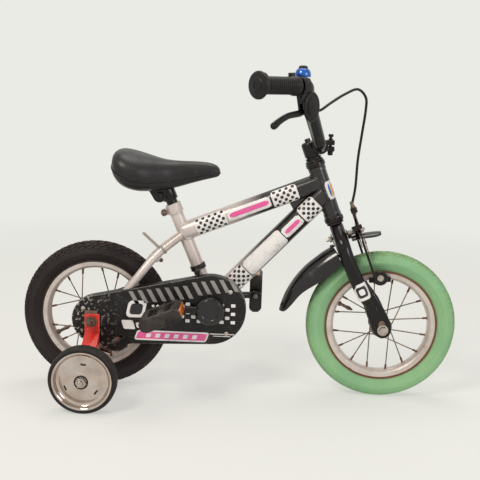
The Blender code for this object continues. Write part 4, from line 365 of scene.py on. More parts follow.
def new_group(name, inputs, output, kind):
    """An empty node group, what it is given (label, socket type, default), and its end."""
    group = bpy.data.node_groups.new(name, "ShaderNodeTree")
    for label, socket_type, default in inputs:
        socket = group.interface.new_socket(name=label, in_out="INPUT", socket_type=socket_type)
        if default is not None:
            socket.default_value = default
    group.interface.new_socket(name=output, in_out="OUTPUT", socket_type=kind)
    return group, group.nodes.new("NodeGroupInput").outputs, group.nodes.new("NodeGroupOutput")


def add_node(tree, kind, settings=None, **values):
    """A node with its settings and its named inputs: values, sockets, or nodes for their first outputs."""
    node = tree.nodes.new(kind)
    for key, value in (settings or {}).items():
        setattr(node, key, value)
    for label, value in values.items():
        socket = node.inputs[int(label[1:])] if label[0] == "i" and label[1:].isdigit() else node.inputs[
            label.replace("_", " ")]
        if isinstance(value, bpy.types.Node):
            value = value.outputs[0]
        if isinstance(value, bpy.types.NodeSocket):
            tree.links.new(value, socket)
        else:
            socket.default_value = value
    return node


FLOAT, VECTOR = "NodeSocketFloat", "NodeSocketVector"


def patches_group():
    """Soft-edged patches of noise."""
    group, given, end = new_group("patches", [("Vector", VECTOR, None), ("Scale", FLOAT, 40.0),
            ("Detail", FLOAT, 4.0), ("From", FLOAT, 0.5), ("To", FLOAT, 0.7)], "Mask", FLOAT)
    noise = add_node(group, "ShaderNodeTexNoise", Vector=given["Vector"], Scale=given["Scale"],
                     Detail=given["Detail"])
    spread = add_node(group, "ShaderNodeMapRange", i0=noise, i1=given["From"], i2=given["To"])
    group.links.new(spread.outputs[0], end.inputs[0])
    return group


def end_product(group, first, second, amount, end):
    """Ends a group with the product of two masks and an amount."""
    both = add_node(group, "ShaderNodeMath", {"operation": "MULTIPLY"}, i0=first, i1=second)
    scaled = add_node(group, "ShaderNodeMath", {"operation": "MULTIPLY", "use_clamp": True}, i0=both,
            i1=amount)
    group.links.new(scaled.outputs[0], end.inputs[0])
    return group


def worn_edges_group():
    """Edges where the finish has rubbed off, broken up by noise."""
    group, given, end = new_group("worn_edges", [("Vector", VECTOR, None), ("Width", FLOAT, 0.001),
            ("Scale", FLOAT, 150.0), ("Amount", FLOAT, 0.5)], "Mask", FLOAT)
    rounded = add_node(group, "ShaderNodeBevel", {"samples": 4}, Radius=given["Width"])
    flat = add_node(group, "ShaderNodeNewGeometry")
    facing = add_node(group, "ShaderNodeVectorMath", {"operation": "DOT_PRODUCT"}, i0=rounded,
                      i1=flat.outputs["Normal"])
    edge = add_node(group, "ShaderNodeMapRange", i0=facing.outputs["Value"], i1=0.99, i2=0.86)
    noise = add_node(group, "ShaderNodeTexNoise", Vector=given["Vector"], Scale=given["Scale"], Detail=5.0)
    broken = add_node(group, "ShaderNodeMapRange", i0=noise, i1=0.42, i2=0.58)
    return end_product(group, edge, broken, given["Amount"], end)


def scratches_group():
    """Thin broken lines, long in the direction in which Stretch is small."""
    group, given, end = new_group("scratches", [("Vector", VECTOR, None),
            ("Stretch", VECTOR, (1.0, 1.0, 1.0)),
            ("Scale", FLOAT, 60.0), ("Width", FLOAT, 0.02), ("Amount", FLOAT, 0.6)], "Mask", FLOAT)
    bent = add_node(group, "ShaderNodeTexNoise", Vector=given["Vector"], Scale=25.0, Detail=2.0)
    swing = add_node(group, "ShaderNodeVectorMath", {"operation": "SCALE"}, i0=bent.outputs[1], Scale=0.02)
    moved = add_node(group, "ShaderNodeVectorMath", {"operation": "ADD"}, i0=given["Vector"], i1=swing)
    stretched = add_node(group, "ShaderNodeVectorMath", {"operation": "MULTIPLY"}, i0=moved,
            i1=given["Stretch"])
    cells = add_node(group, "ShaderNodeTexVoronoi", {"feature": "DISTANCE_TO_EDGE"}, Vector=stretched,
                     Scale=given["Scale"])
    line = add_node(group, "ShaderNodeMapRange", i0=cells.outputs["Distance"], i1=given["Width"], i2=0.0)
    where = add_node(group, "ShaderNodeTexNoise", Vector=given["Vector"], Scale=45.0, Detail=2.0)
    broken = add_node(group, "ShaderNodeMapRange", i0=where, i1=0.52, i2=0.6)
    return end_product(group, line, broken, given["Amount"], end)


def dust_group():
    """Dust and dirt that settles on faces that look up, in patches."""
    group, given, end = new_group("settled_dust", [("Vector", VECTOR, None), ("Scale", FLOAT, 30.0),
            ("Amount", FLOAT, 0.4)], "Mask", FLOAT)
    geometry = add_node(group, "ShaderNodeNewGeometry")
    parts = add_node(group, "ShaderNodeSeparateXYZ", Vector=geometry.outputs["Normal"])
    upward = add_node(group, "ShaderNodeMapRange", i0=parts.outputs["Z"], i1=-0.4, i2=1.0, i3=0.25, i4=1.0)
    noise = add_node(group, "ShaderNodeTexNoise", Vector=given["Vector"], Scale=given["Scale"], Detail=6.0)
    spread = add_node(group, "ShaderNodeMapRange", i0=noise, i1=0.4, i2=0.75)
    return end_product(group, upward, spread, given["Amount"], end)


def grain_group():
    """A fine relief of noise, as a bumped normal."""
    group, given, end = new_group("grain", [("Vector", VECTOR, None), ("Scale", FLOAT, 800.0),
            ("Depth", FLOAT, 0.1)], "Normal", VECTOR)
    noise = add_node(group, "ShaderNodeTexNoise", Vector=given["Vector"], Scale=given["Scale"], Detail=3.0)
    bump = add_node(group, "ShaderNodeBump", Height=noise, Strength=given["Depth"], Distance=0.001)
    group.links.new(bump.outputs[0], end.inputs[0])
    return group


GROUP_MAKERS = {"patches": patches_group, "worn_edges": worn_edges_group, "scratches": scratches_group,
                "settled_dust": dust_group, "grain": grain_group}
GROUPS = {}
FINISHES = {}


class Recipe:
    """A procedural material being put together on Object coordinates."""

    def __init__(self, name, base, **plain):
        self.material = bpy.data.materials.new(name)
        self.material.use_nodes = True
        self.tree = self.material.node_tree
        self.shader = self.tree.nodes["Principled BSDF"]
        self.place = self.add("ShaderNodeTexCoord").outputs["Object"]
        self.shader.inputs["Base Color"].default_value = base
        self.base = base
        for label, value in plain.items():
            self.shader.inputs[label.replace("_", " ")].default_value = value

    def add(self, kind, settings=None, **values):
        return add_node(self.tree, kind, settings, **values)

    def effect(self, name, **values):
        """A shared effect placed with its own values; its one output is returned."""
        if name not in GROUPS:
            GROUPS[name] = GROUP_MAKERS[name]()
        node = self.tree.nodes.new("ShaderNodeGroup")
        node.node_tree = GROUPS[name]
        for label, value in {"Vector": self.place, **values}.items():
            if isinstance(value, bpy.types.NodeSocket):
                self.tree.links.new(value, node.inputs[label])
            else:
                node.inputs[label].default_value = value
        return node.outputs[0]

    def times(self, first, second):
        """The product of two masks."""
        return self.add("ShaderNodeMath", {"operation": "MULTIPLY"}, i0=first, i1=second).outputs[0]

    def blend(self, mask, low, high):
        """Low where the mask is 0 and high where it is 1, as colours."""
        mix = self.add("ShaderNodeMix", {"data_type": "RGBA"}, i0=mask, i6=low, i7=high)
        return mix.outputs[2]

    def tint(self, mask, tone):
        """Lays a tone, given as it looks on a screen, over the base where the mask is 1."""
        self.base = self.blend(mask, self.base, colour(*tone))
        return self

    def patches(self, scale, start, end, detail=4.0):
        """Soft-edged patches where the noise lies between start and end."""
        return self.effect("patches", Scale=scale, Detail=detail, From=start, To=end)

    def worn(self, width, amount, tone, scale=150.0):
        """Shows a tone along edges that have rubbed."""
        return self.tint(self.effect("worn_edges", Width=width, Scale=scale, Amount=amount), tone)

    def dusty(self, scale, amount, tone):
        """Lays dust of a tone on what looks up."""
        return self.tint(self.effect("settled_dust", Scale=scale, Amount=amount), tone)

    def rough(self, scale, low, high, start=0.3, end=0.8):
        """Lets the roughness wander from low to high in patches."""
        return self.shift("Roughness", self.patches(scale, start, end), low, high)

    def shift(self, socket, mask, low, high):
        """Runs a plain socket from low to high with a mask."""
        spread = self.add("ShaderNodeMapRange", i0=mask, i3=low, i4=high)
        self.tree.links.new(spread.outputs[0], self.shader.inputs[socket])
        return self

    def band(self, axis, start, end):
        """A mask that rises from 0 to 1 between two places along an axis, in metres."""
        parts = self.add("ShaderNodeSeparateXYZ", Vector=self.place)
        return self.add("ShaderNodeMapRange", i0=parts.outputs[axis], i1=start, i2=end).outputs[0]

    def done(self, normal=None):
        if isinstance(self.base, bpy.types.NodeSocket):
            self.tree.links.new(self.base, self.shader.inputs["Base Color"])
        if normal is not None:
            self.tree.links.new(normal, self.shader.inputs["Normal"])
        return self.material


# Finishes

def silver_paint():
    """Warm silver that fades to gloss black towards the head, rubbed and dusty."""
    looks = bpy.context.scene.bike_colours
    make = Recipe("silver_paint", (*looks.silver, 1), Coat_Weight=0.25, Coat_Roughness=0.25)
    make.tint(make.patches(16.0, 0.4, 0.8), (192, 178, 170))
    make.worn(0.0012, 0.5, (112, 92, 78))
    fade = make.band("X", -0.030, 0.041)
    make.base = make.blend(fade, make.base, (*looks.black, 1))
    make.dusty(26.0, 0.18, (128, 112, 98))
    chips = make.patches(330.0, 0.72, 0.74, 2.0)
    make.tint(chips, (98, 70, 52))
    make.shift("Roughness", fade, 0.38, 0.22)
    make.shift("Metallic", fade, 0.25, 0.0)
    return make.done(make.effect("grain", Scale=500.0, Depth=0.03))


def black_paint():
    """Gloss black enamel with rubbed edges, chips and a little rust."""
    looks = bpy.context.scene.bike_colours
    make = Recipe("black_paint", (*looks.black, 1), Specular_IOR_Level=0.32)
    make.dusty(34.0, 0.2, (60, 50, 44))
    make.worn(0.0012, 0.75, (122, 96, 78))
    make.tint(make.patches(210.0, 0.72, 0.75, 3.0), (120, 78, 52))
    make.rough(60.0, 0.12, 0.3, 0.4, 0.75)
    return make.done(make.effect("grain", Scale=420.0, Depth=0.03))


def plastic(name, base, rough, lighter, depth=0.18, scale=900.0, shine=0.28, dust=0.35):
    """Moulded plastic with a fine grain, scuffs and dust."""
    make = Recipe(name, base, Specular_IOR_Level=shine)
    make.dusty(28.0, dust, lighter)
    make.tint(make.effect("scratches", Stretch=(0.35, 1.0, 1.0), Scale=160.0, Width=0.03, Amount=0.5),
            lighter)
    make.worn(0.001, 0.45, lighter)
    make.rough(45.0, rough - 0.08, rough + 0.14, 0.35, 0.75)
    return make.done(make.effect("grain", Scale=scale, Depth=depth))


def tyre_rubber(name, centre, base, paler, dirt, dirt_edge):
    """Tyre rubber round an axle: mould lines, dirt in the tread, a grubby band at the bead."""
    make = Recipe(name, base, Specular_IOR_Level=0.25)
    parts = make.add("ShaderNodeSeparateXYZ", Vector=make.place)
    ahead = make.add("ShaderNodeMath", {"operation": "SUBTRACT"}, i0=parts.outputs["X"], i1=centre[0] * MM)
    above = make.add("ShaderNodeMath", {"operation": "SUBTRACT"}, i0=parts.outputs["Z"], i1=centre[2] * MM)
    flat = make.add("ShaderNodeCombineXYZ", X=ahead.outputs[0], Z=above.outputs[0])
    reach = make.add("ShaderNodeVectorMath", {"operation": "LENGTH"}, i0=flat).outputs["Value"]
    make.tint(make.patches(14.0, 0.35, 0.75), paler)
    tread = make.add("ShaderNodeMapRange", i0=reach, i1=0.1405, i2=0.1475).outputs[0]
    stain = make.patches(70.0, 0.32, 0.72, 8.0)
    make.tint(make.times(tread, stain), dirt)
    bead = make.add("ShaderNodeMapRange", i0=reach, i1=0.1135, i2=0.1085).outputs[0]
    smear = make.patches(34.0, 0.3, 0.6, 6.0)
    make.tint(make.times(bead, smear), dirt_edge)
    make.dusty(20.0, 0.16, dirt)
    make.rough(80.0, 0.62, 0.86)
    rings = make.add("ShaderNodeMath", {"operation": "MULTIPLY"}, i0=reach, i1=1500.0)
    wave = make.add("ShaderNodeMath", {"operation": "SINE"}, i0=rings)
    noise = make.add("ShaderNodeTexNoise", Vector=make.place, Scale=700.0, Detail=3.0)
    height = make.add("ShaderNodeMath", {"operation": "MULTIPLY_ADD"}, i0=wave, i1=0.7, i2=noise)
    bump = make.add("ShaderNodeBump", Height=height, Strength=0.35, Distance=0.001)
    return make.done(bump.outputs[0])


def green_tyre():
    looks = bpy.context.scene.bike_colours
    return tyre_rubber("green_tyre", FRONT_AXLE, (*looks.green, 1), (136, 184, 138), (120, 134, 84),
            (92, 60, 36))


def black_tyre():
    return tyre_rubber("black_tyre", REAR_AXLE, colour(36, 30, 30), (48, 41, 40), (74, 62, 56), (60, 48, 42))


def metal(name, base, rough, rust_from, rust=(116, 72, 46), shade=(120, 108, 98), metallic=0.85, spread=0.22):
    """Bare or plated steel, dulled in patches, with rust that grows where rust_from is low."""
    make = Recipe(name, base, Metallic=metallic)
    make.tint(make.patches(38.0, 0.4, 0.8), shade)
    spots = make.patches(120.0, rust_from, rust_from + 0.08, 7.0)
    make.tint(spots, rust)
    make.worn(0.0009, 0.5, rust, 220.0)
    make.rough(90.0, rough, rough + spread)
    return make.done(make.effect("grain", Scale=650.0, Depth=0.05))


def red_paint():
    """Bright red enamel, rubbed to primer at the edges and round the bolt."""
    make = Recipe("red_paint", colour(230, 46, 28), Coat_Weight=0.3, Coat_Roughness=0.2)
    make.tint(make.patches(26.0, 0.4, 0.85), (206, 30, 20))
    make.worn(0.0012, 0.7, (226, 190, 180))
    make.tint(make.patches(150.0, 0.71, 0.73, 4.0), (230, 214, 208))
    make.dusty(40.0, 0.14, (120, 84, 66))
    make.rough(70.0, 0.28, 0.46)
    return make.done(make.effect("grain", Scale=500.0, Depth=0.05))


def blue_metal():
    """Blue lacquer over bright metal."""
    looks = bpy.context.scene.bike_colours
    make = Recipe("blue_metal", (*looks.bell_blue, 1), Metallic=0.7, Coat_Weight=0.5, Coat_Roughness=0.08)
    make.tint(make.patches(60.0, 0.4, 0.8), (28, 72, 168))
    make.worn(0.0008, 0.5, (160, 176, 200))
    make.rough(120.0, 0.16, 0.34)
    return make.done(make.effect("grain", Scale=600.0, Depth=0.03))


def black_vinyl():
    """Saddle cover: fine pebble grain, faint creases, and a paler crown that is settled dust and a painted
    highlight on the top.
    """
    make = Recipe("black_vinyl", colour(18, 15, 15), Specular_IOR_Level=0.42)
    # Warm grey-pink on the faces that look up: settled dust, and also a painted highlight on the saddle's top
    make.dusty(18.0, 0.3, (62, 54, 54))
    make.tint(make.patches(11.0, 0.45, 0.8), (28, 23, 24))
    make.tint(make.effect("scratches", Stretch=(1.0, 0.3, 1.0), Scale=90.0, Width=0.02, Amount=0.35),
            (92, 88, 88))
    make.rough(30.0, 0.33, 0.52, 0.3, 0.75)
    cells = make.add("ShaderNodeTexVoronoi", {"feature": "SMOOTH_F1"}, Vector=make.place, Scale=620.0)
    creases = make.add("ShaderNodeTexNoise", Vector=make.place, Scale=34.0, Detail=5.0)
    height = make.add("ShaderNodeMath", {"operation": "MULTIPLY_ADD"}, i0=cells.outputs["Distance"], i1=0.35,
                      i2=creases)
    bump = make.add("ShaderNodeBump", Height=height, Strength=0.3, Distance=0.001)
    return make.done(bump.outputs[0])


def amber():
    """An amber reflector: small prisms under a clear face."""
    make = Recipe("amber", colour(240, 138, 18), Coat_Weight=1.0, Coat_Roughness=0.05)
    prisms = make.add("ShaderNodeTexVoronoi", {"distance": "CHEBYCHEV"}, Vector=make.place, Scale=420.0)
    make.tint(make.add("ShaderNodeMapRange", i0=prisms.outputs["Distance"], i1=0.2, i2=0.7).outputs[0],
            (196, 84, 8))
    make.tint(make.patches(90.0, 0.55, 0.8), (120, 62, 18))
    make.shift("Roughness", prisms.outputs["Distance"], 0.12, 0.3)
    bump = make.add("ShaderNodeBump", Height=prisms.outputs["Distance"], Strength=0.5, Distance=0.001)
    return make.done(bump.outputs[0])


def printed(name, base, grubby, amount=0.5):
    """A printed film of one colour, scuffed and grubby."""
    make = Recipe(name, base, Coat_Weight=0.15, Coat_Roughness=0.3)
    make.tint(make.patches(46.0, 0.5, 0.85, 6.0), grubby)
    make.tint(make.effect("scratches", Stretch=(0.4, 1.0, 1.0), Scale=120.0, Width=0.03, Amount=amount),
            (84, 76, 72))
    make.worn(0.0006, 0.4, (96, 86, 80), 260.0)
    make.rough(60.0, 0.32, 0.5)
    return make.done(make.effect("grain", Scale=500.0, Depth=0.04))


def guard_plastic():
    """The guard's black face, scraped pale towards its rear end and lower edge."""
    make = Recipe("guard_plastic", colour(15, 13, 13), Specular_IOR_Level=0.32)
    make.dusty(30.0, 0.3, (70, 62, 58))
    make.tint(make.effect("scratches", Stretch=(0.5, 1.0, 1.0), Scale=90.0, Width=0.035, Amount=0.5),
            (110, 100, 94))
    rear = make.band("X", -0.225, -0.315)
    worn = make.patches(150.0, 0.57, 0.6, 9.0)
    make.tint(make.times(rear, worn), (176, 168, 160))
    make.worn(0.0014, 0.8, (170, 162, 154), 120.0)
    make.rough(40.0, 0.28, 0.5)
    return make.done(make.effect("grain", Scale=600.0, Depth=0.08))


MAKERS = {maker.__name__: maker for maker in (silver_paint, black_paint, green_tyre, black_tyre, red_paint,
        blue_metal, black_vinyl, amber, guard_plastic)}
RUST = (116, 72, 46)
TABLE = {
    "black_plastic": (plastic, (15, 13, 13), 0.3, (78, 70, 66)),
    "gloss_plastic": (plastic, (17, 14, 14), 0.16, (66, 56, 52), 0.06, 500.0, 0.5, 0.2),
    "dusty_plastic": (plastic, (26, 22, 21), 0.46, (112, 102, 94), 0.2, 700.0, 0.28, 0.7),
    "grey_plastic": (plastic, (164, 154, 146), 0.45, (120, 108, 100), 0.1),
    "black_rubber": (plastic, (21, 18, 18), 0.6, (70, 62, 58), 0.3, 600.0),
    "grip_rubber": (plastic, (14, 12, 12), 0.46, (62, 55, 52), 0.22, 700.0),
    "small_tyre": (plastic, (30, 26, 26), 0.62, (84, 72, 66), 0.3, 500.0),
    "rim_steel": (metal, (216, 206, 198), 0.3, 0.66, RUST, (190, 176, 166), 0.5),
    "rim_edge_rust": (metal, (116, 78, 56), 0.6, 0.42, RUST, (92, 58, 42), 0.2),
    "spoke_steel": (metal, (122, 108, 98), 0.35, 0.6, RUST, (88, 76, 68)),
    "nipple_rust": (metal, (112, 78, 58), 0.55, 0.5, (86, 48, 30), (134, 110, 92), 0.5),
    "chrome": (metal, (202, 190, 182), 0.03, 0.7, (140, 98, 72), (176, 158, 144), 1.0, 0.12),
    "zinc": (metal, (190, 182, 172), 0.26, 0.62, RUST, (142, 130, 118)),
    "rusty_steel": (metal, (126, 108, 94), 0.42, 0.56, (104, 62, 40), (88, 68, 56), 0.75),
    "chain_steel": (metal, (92, 80, 68), 0.4, 0.52, (84, 54, 36), (58, 50, 44), 0.75),
    "print_white": (printed, (240, 238, 234), (214, 206, 198)),
    "print_black": (printed, (20, 19, 20), (52, 48, 46)),
    "print_grey": (printed, (150, 146, 142), (110, 104, 100)),
    "print_pink": (printed, (238, 92, 162), (214, 120, 160)),
    "print_blue": (printed, (40, 104, 190), (60, 90, 150)),
    "print_yellow": (printed, (236, 196, 60), (200, 170, 80)),
}


def finish(name):
    """A finish by name, made the first time that it is asked for."""
    if name not in FINISHES:
        if name in TABLE:
            maker, base, *values = TABLE[name]
            FINISHES[name] = maker(name, colour(*base), *values)
        else:
            FINISHES[name] = MAKERS[name]()
    return FINISHES[name]


# Wheels

CASING = [(101.8, 0), (101.8, 8.8), (104.6, 10.9), (109.2, 11.3), (111.5, 13.4), (115, 16.6), (119.5, 19.6),
          (124, 21.4), (125, 22.1), (129, 21.8), (134, 19.9), (138.6, 16.9), (142.2, 12.6), (144.8, 7.2),
          (146.2, 0)]
KNOB_ROOT, KNOB_TOP = 20.4, 23.0


def knob(centre, low, high, start, length, slant):
    """A tread block between two angles across the section, at an angle round the wheel."""
    piece = block("knob", (0, 0, 0), (1, 1, 1), edge=0)
    for vertex in piece.data.vertices:
        across_angle = radians(low if vertex.co.y < 0 else high)
        top = vertex.co.z > 0
        reach = KNOB_TOP if top else KNOB_ROOT
        inset = 0.84 if top else 1.0
        lean = slant * ((low if vertex.co.y < 0 else high) - (low + high) / 2)
        angle = radians(start + lean + (length / 2 * inset if vertex.co.x > 0 else -length / 2 * inset))
        radius = 125 + reach * cos(across_angle)
        vertex.co = (centre + Vector((radius * cos(angle), reach * sin(across_angle),
                radius * sin(angle)))) * MM
    return tidy(piece)


def ringed(piece, centre, count):
    """Copies a piece round a wheel's axle with a spin that duplicates."""
    pick(piece)
    edit_all()
    bpy.ops.mesh.spin(steps=count, angle=tau, center=Vector(centre) * MM, axis=ACROSS, dupli=True)
    edit_done()
    return tidy(piece)


def tyre(name, centre, rows, count, material, body, fill=0.0):
    """A casing with raised tread blocks; fill brings it out towards the block tops, in millimetres."""
    section = []
    for radius, side in CASING:
        reach = sqrt((radius - 125) ** 2 + side ** 2)
        out = 1 + (fill / reach if radius > 127 else 0)
        section.append((125 + (radius - 125) * out, side * out))
    outline = section + [(radius, -side) for radius, side in reversed(section[1:-1])]
    casing = turned(name, centre, ACROSS, outline, 96)
    pitch = 360 / count
    blocks = []
    for low, high, shift, share, slant in rows:
        for sign in ((1,) if low < 0 < high else (1, -1)):
            edges = sorted((sign * low, sign * high))
            offset = shift if sign > 0 else shift + 0.5
            blocks.append(knob(centre, edges[0], edges[1], offset * pitch, share * pitch, slant * sign))
    tread = ringed(joined("tread", *blocks), centre, count)
    dress(joined(name, casing, tread), name + "_tread", body, material, [name], 30)


class BIKE_OT_tyres(bpy.types.Operator):
    """Both tyres: fine ribs and notches in front, slanted shoulder blocks behind"""
    bl_idname = "bike.tyres"
    bl_label = "Tyres"

    def execute(self, context):
        sizes = context.scene.bike_sizes
        front = [(-7, 7, 0, 0.88, 0), (9, 22, 0.5, 0.88, 0), (24, 37, 0, 0.88, 0), (39, 50, 0.4, 0.86, 0),
                 (52, 63, 0.1, 0.55, 0)]
        tyre("front_tyre", FRONT_AXLE, front, sizes.front_tread_steps, "green_tyre", "front_wheel", 1.1)
        rear = [(-8, 8, 0, 0.74, 0.12), (12, 27, 0.35, 0.7, 0.16), (31, 47, 0.1, 0.66, 0.2),
                (50, 63, 0.6, 0.5, 0.22)]
        tyre("rear_tyre", REAR_AXLE, rear, sizes.rear_tread_steps, "black_tyre", "rear_wheel")
        return {"FINISHED"}


RIM = [(93.2, 0), (93.4, 3.2), (94.4, 6.6), (96.6, 10.6), (99, 12.6), (102, 13.1), (106.6, 13.1), (108, 13.6),
       (109.3, 13.5), (109.6, 12.4), (108.6, 11.9), (104.6, 11.5), (101.4, 9.4), (99, 6), (98, 0)]


def valve(centre, angle):
    """A valve through the rim: lock nut, threaded stem and cap."""
    out = ray(radians(angle))
    profile = [(0, -4), (3.2, -4), (3.2, 1.5), (5, 1.5), (5, 4.5), (3.3, 5)]
    for ring in range(7):
        profile += [(3.3, 6.2 + ring * 1.6), (2.9, 6.9 + ring * 1.6)]
    profile += [(2.9, 17.6), (3.9, 18), (3.9, 24.6), (3.2, 25.6), (2.2, 29), (1.6, 31), (0, 31)]
    return turned("valve", centre + out * 93, -out, profile, 16)


def spoke(centre, index, phase, hole_circle):
    """One bent-head spoke with its nipple at the rim; index picks flange and lacing side."""
    angle = radians(phase) + index * tau / 16
    flange = -22 if index % 2 == 0 else 22
    hole = angle + radians(50 if index % 4 < 2 else -50)
    start = centre + Vector((hole_circle * cos(hole), flange, hole_circle * sin(hole)))
    offset = 3.0 if flange > 0 else -3.0
    out = ray(angle)
    end = centre + out * 94 + ACROSS * offset
    side = 1 if flange > 0 else -1
    head = start - ACROSS * side * 2.2
    way = (end - start).normalized()
    wire = tube("spoke", [head, start + ACROSS * side * 0.6, start + ACROSS * side * 0.9 + way * 2.5,
                end - way * 5], bpy.context.scene.bike_sizes.spoke_radius / MM, sides=6)
    nipple = turned("nipple", end, -way, [(0, -1.5), (2.9, -1.5), (2.9, 0.4), (2.1, 1.4), (2.1, 9.5),
            (1.5, 10.5), (0, 10.5)], 8)
    return wire, nipple


def wheel(end, centre, body, phase, hole_circle, valve_angle, shell):
    """Rim, valve, hub and sixteen crossed spokes of one wheel."""
    outline = RIM + [(radius, -side) for radius, side in reversed(RIM[1:-1])]
    rim = turned("rim", centre, ACROSS, outline, 96)
    dress(rim, end + "_rim_rolled", body, "rim_steel", [end + "_rim"], 28)
    edges = []
    for side in (1, -1):
        ring = [(107.2, 12.8), (109.7, 12.2), (111, 13.1), (110.8, 14), (109, 14.3), (107.6, 14.1),
                (107.1, 13.5)]
        edges.append(turned("edge", centre, ACROSS * side, ring, 96))
    grime = "rim_edge_rust" if end == "front" else "black_tyre"
    dress(joined("edges", *edges), end + "_rim_edges", body, "rim_steel", look=grime)
    dress(valve(centre, valve_angle), end + "_valve", body, "rim_steel", look="rusty_steel")
    hub = turned("hub", centre, ACROSS, shell, 40)
    wires, nipples = [], []
    for index in range(4):
        wire, nipple = spoke(centre, index, phase, hole_circle)
        for quarter in range(4):
            turn = turn_about(centre, "Y", 90 * quarter)
            wires.append(copied(wire, turn) if quarter else wire)
            nipples.append(copied(nipple, turn) if quarter else nipple)
    dress(hub, end + "_hub_shell", body, "spoke_steel", [end + "_hub"], look="rusty_steel")
    dress(joined("spokes", *wires), end + "_spokes", body, "spoke_steel", [end + "_hub"], 60)
    dress(joined("nipples", *nipples), end + "_nipples", body, "spoke_steel", look="nipple_rust")


class BIKE_OT_wheels(bpy.types.Operator):
    """Rims, valves, hubs, spokes and nipples of both wheels"""
    bl_idname = "bike.wheels"
    bl_label = "Wheels"

    def execute(self, context):
        front = [(5.3, -26), (8, -26), (9.4, -24), (10, -23.3), (20.3, -23.2), (21, -22.5), (21, -21.2),
                 (20.3, -20.7), (12, -20.4), (11, -18), (10.6, 0)]
        front += [(radius, -along) for radius, along in reversed(front[:-1])]
        wheel("front", FRONT_AXLE, "front_wheel", 10, 18, 155, front)
        rear = [(5.3, -27), (20, -27), (22.4, -24.5), (23, -23.3), (31.3, -23.2), (32, -22.5), (32, -21.2),
                (31.3, -20.7), (24.6, -20.4), (24, -17), (23.4, -8), (23.4, 8), (24, 17), (24.6, 20.4),
                (31.3, 20.7),
                (32, 21.2), (32, 22.5), (31.3, 23.2), (23, 23.3), (22.4, 26), (20, 31), (5.3, 31)]
        wheel("rear", REAR_AXLE, "rear_wheel", 17.6, 29, 209, rear)
        return {"FINISHED"}


# Frame

TOP_START = BB + SEAT_UP * 154
TOP_END = HEAD_BASE + STEER_UP * 71
DOWN_END = HEAD_BASE + STEER_UP * 48
STAY_TOP = BB + SEAT_UP * 151
STAY_RUN = (REAR_AXLE - STAY_TOP).normalized()
STAY_NORMAL = Vector((STAY_RUN.z, 0, -STAY_RUN.x))


def weld(start, direction, radius, other, other_axis, other_radius, bead=2.1):
    """A rippled weld bead where a tube that sets out from start first meets another tube."""
    first, second, along = directions(direction)
    lane = Vector(other_axis).normalized()
    loop, taper = [], []
    for step in range(60):
        angle = step * tau / 60
        point = start + (first * cos(angle) + second * sin(angle)) * radius
        gap = point - other
        gap = gap - lane * gap.dot(lane)
        run = along - lane * along.dot(lane)
        a, b, c = run.dot(run), 2 * gap.dot(run), gap.dot(gap) - other_radius ** 2
        reach = (-b - sqrt(max(0.0, b * b - 4 * a * c))) / (2 * a)
        loop.append(point + along * reach)
        taper.append(1.0 + 0.12 * (step % 2))
    return tube("weld", loop + [loop[0]], bead, taper + [taper[0]], 8)


def straight_tube(start, end, radius, sides=40):
    length = (end - start).length
    outline = [(0, 0), (radius, 0), (radius, length / 2), (radius, length), (0, length)]
    return turned("tube", start, end - start, outline, sides)


def seatstay_route(side):
    foot = 48.65
    places = [STAY_TOP + ACROSS * side * 8]
    for share, lateral, bow in ((0.729, 26, 5.8), (0.484, foot - 3, -0.4), (0.158, foot, -12.4)):
        places.append(REAR_AXLE.lerp(STAY_TOP, share) + ACROSS * side * lateral + STAY_NORMAL * bow)
    return smooth_route(places, 8)


def seatstay(side):
    route = seatstay_route(side)
    taper = [1.0 - 0.16 * max(0, index - len(route) + 9) / 8 for index in range(len(route))]
    return tube("seatstay", route, 8, taper, 24)


def chainstay(side):
    places = [BB + Vector(step) for step in ((-16, side * 17, -4), (-60, side * 21, -9),
            (-90, side * 27.5, -12), (-112, side * 33.5, -15), (-140, side * 40, -19))]
    route = smooth_route(places + [REAR_AXLE + Vector((30, side * 49.25, 3))], 6)
    taper = [1.0 - 0.3 * max(0, index - len(route) + 9) / 8 for index in range(len(route))]
    return tube("chainstay", route, 7, taper, 24)


def dropout(side):
    """A slotted plate that holds the rear axle, open to the rear."""
    inner = 46 if side > 0 else -50.5
    outline = [(-14, 5.05)]
    outline += [(15 * cos(radians(a)), 15 * sin(radians(a))) for a in (156, 143, 130)]
    outline += [(34, 28), (44, 14), (40, -6)]
    outline += [(15 * cos(radians(a)), 15 * sin(radians(a))) for a in range(300, 203, -12)] + [(-14, -5.05)]
    outline += [(5.05 * cos(radians(a)), 5.05 * sin(radians(a))) for a in range(-90, 91, 20)]
    outline = [(-across, up) for across, up in outline]
    start = Vector((REAR_AXLE.x, inner, REAR_AXLE.z))
    return plate("dropout", outline, start, (-1, 0, 0), UP, 4.5, 0.5)


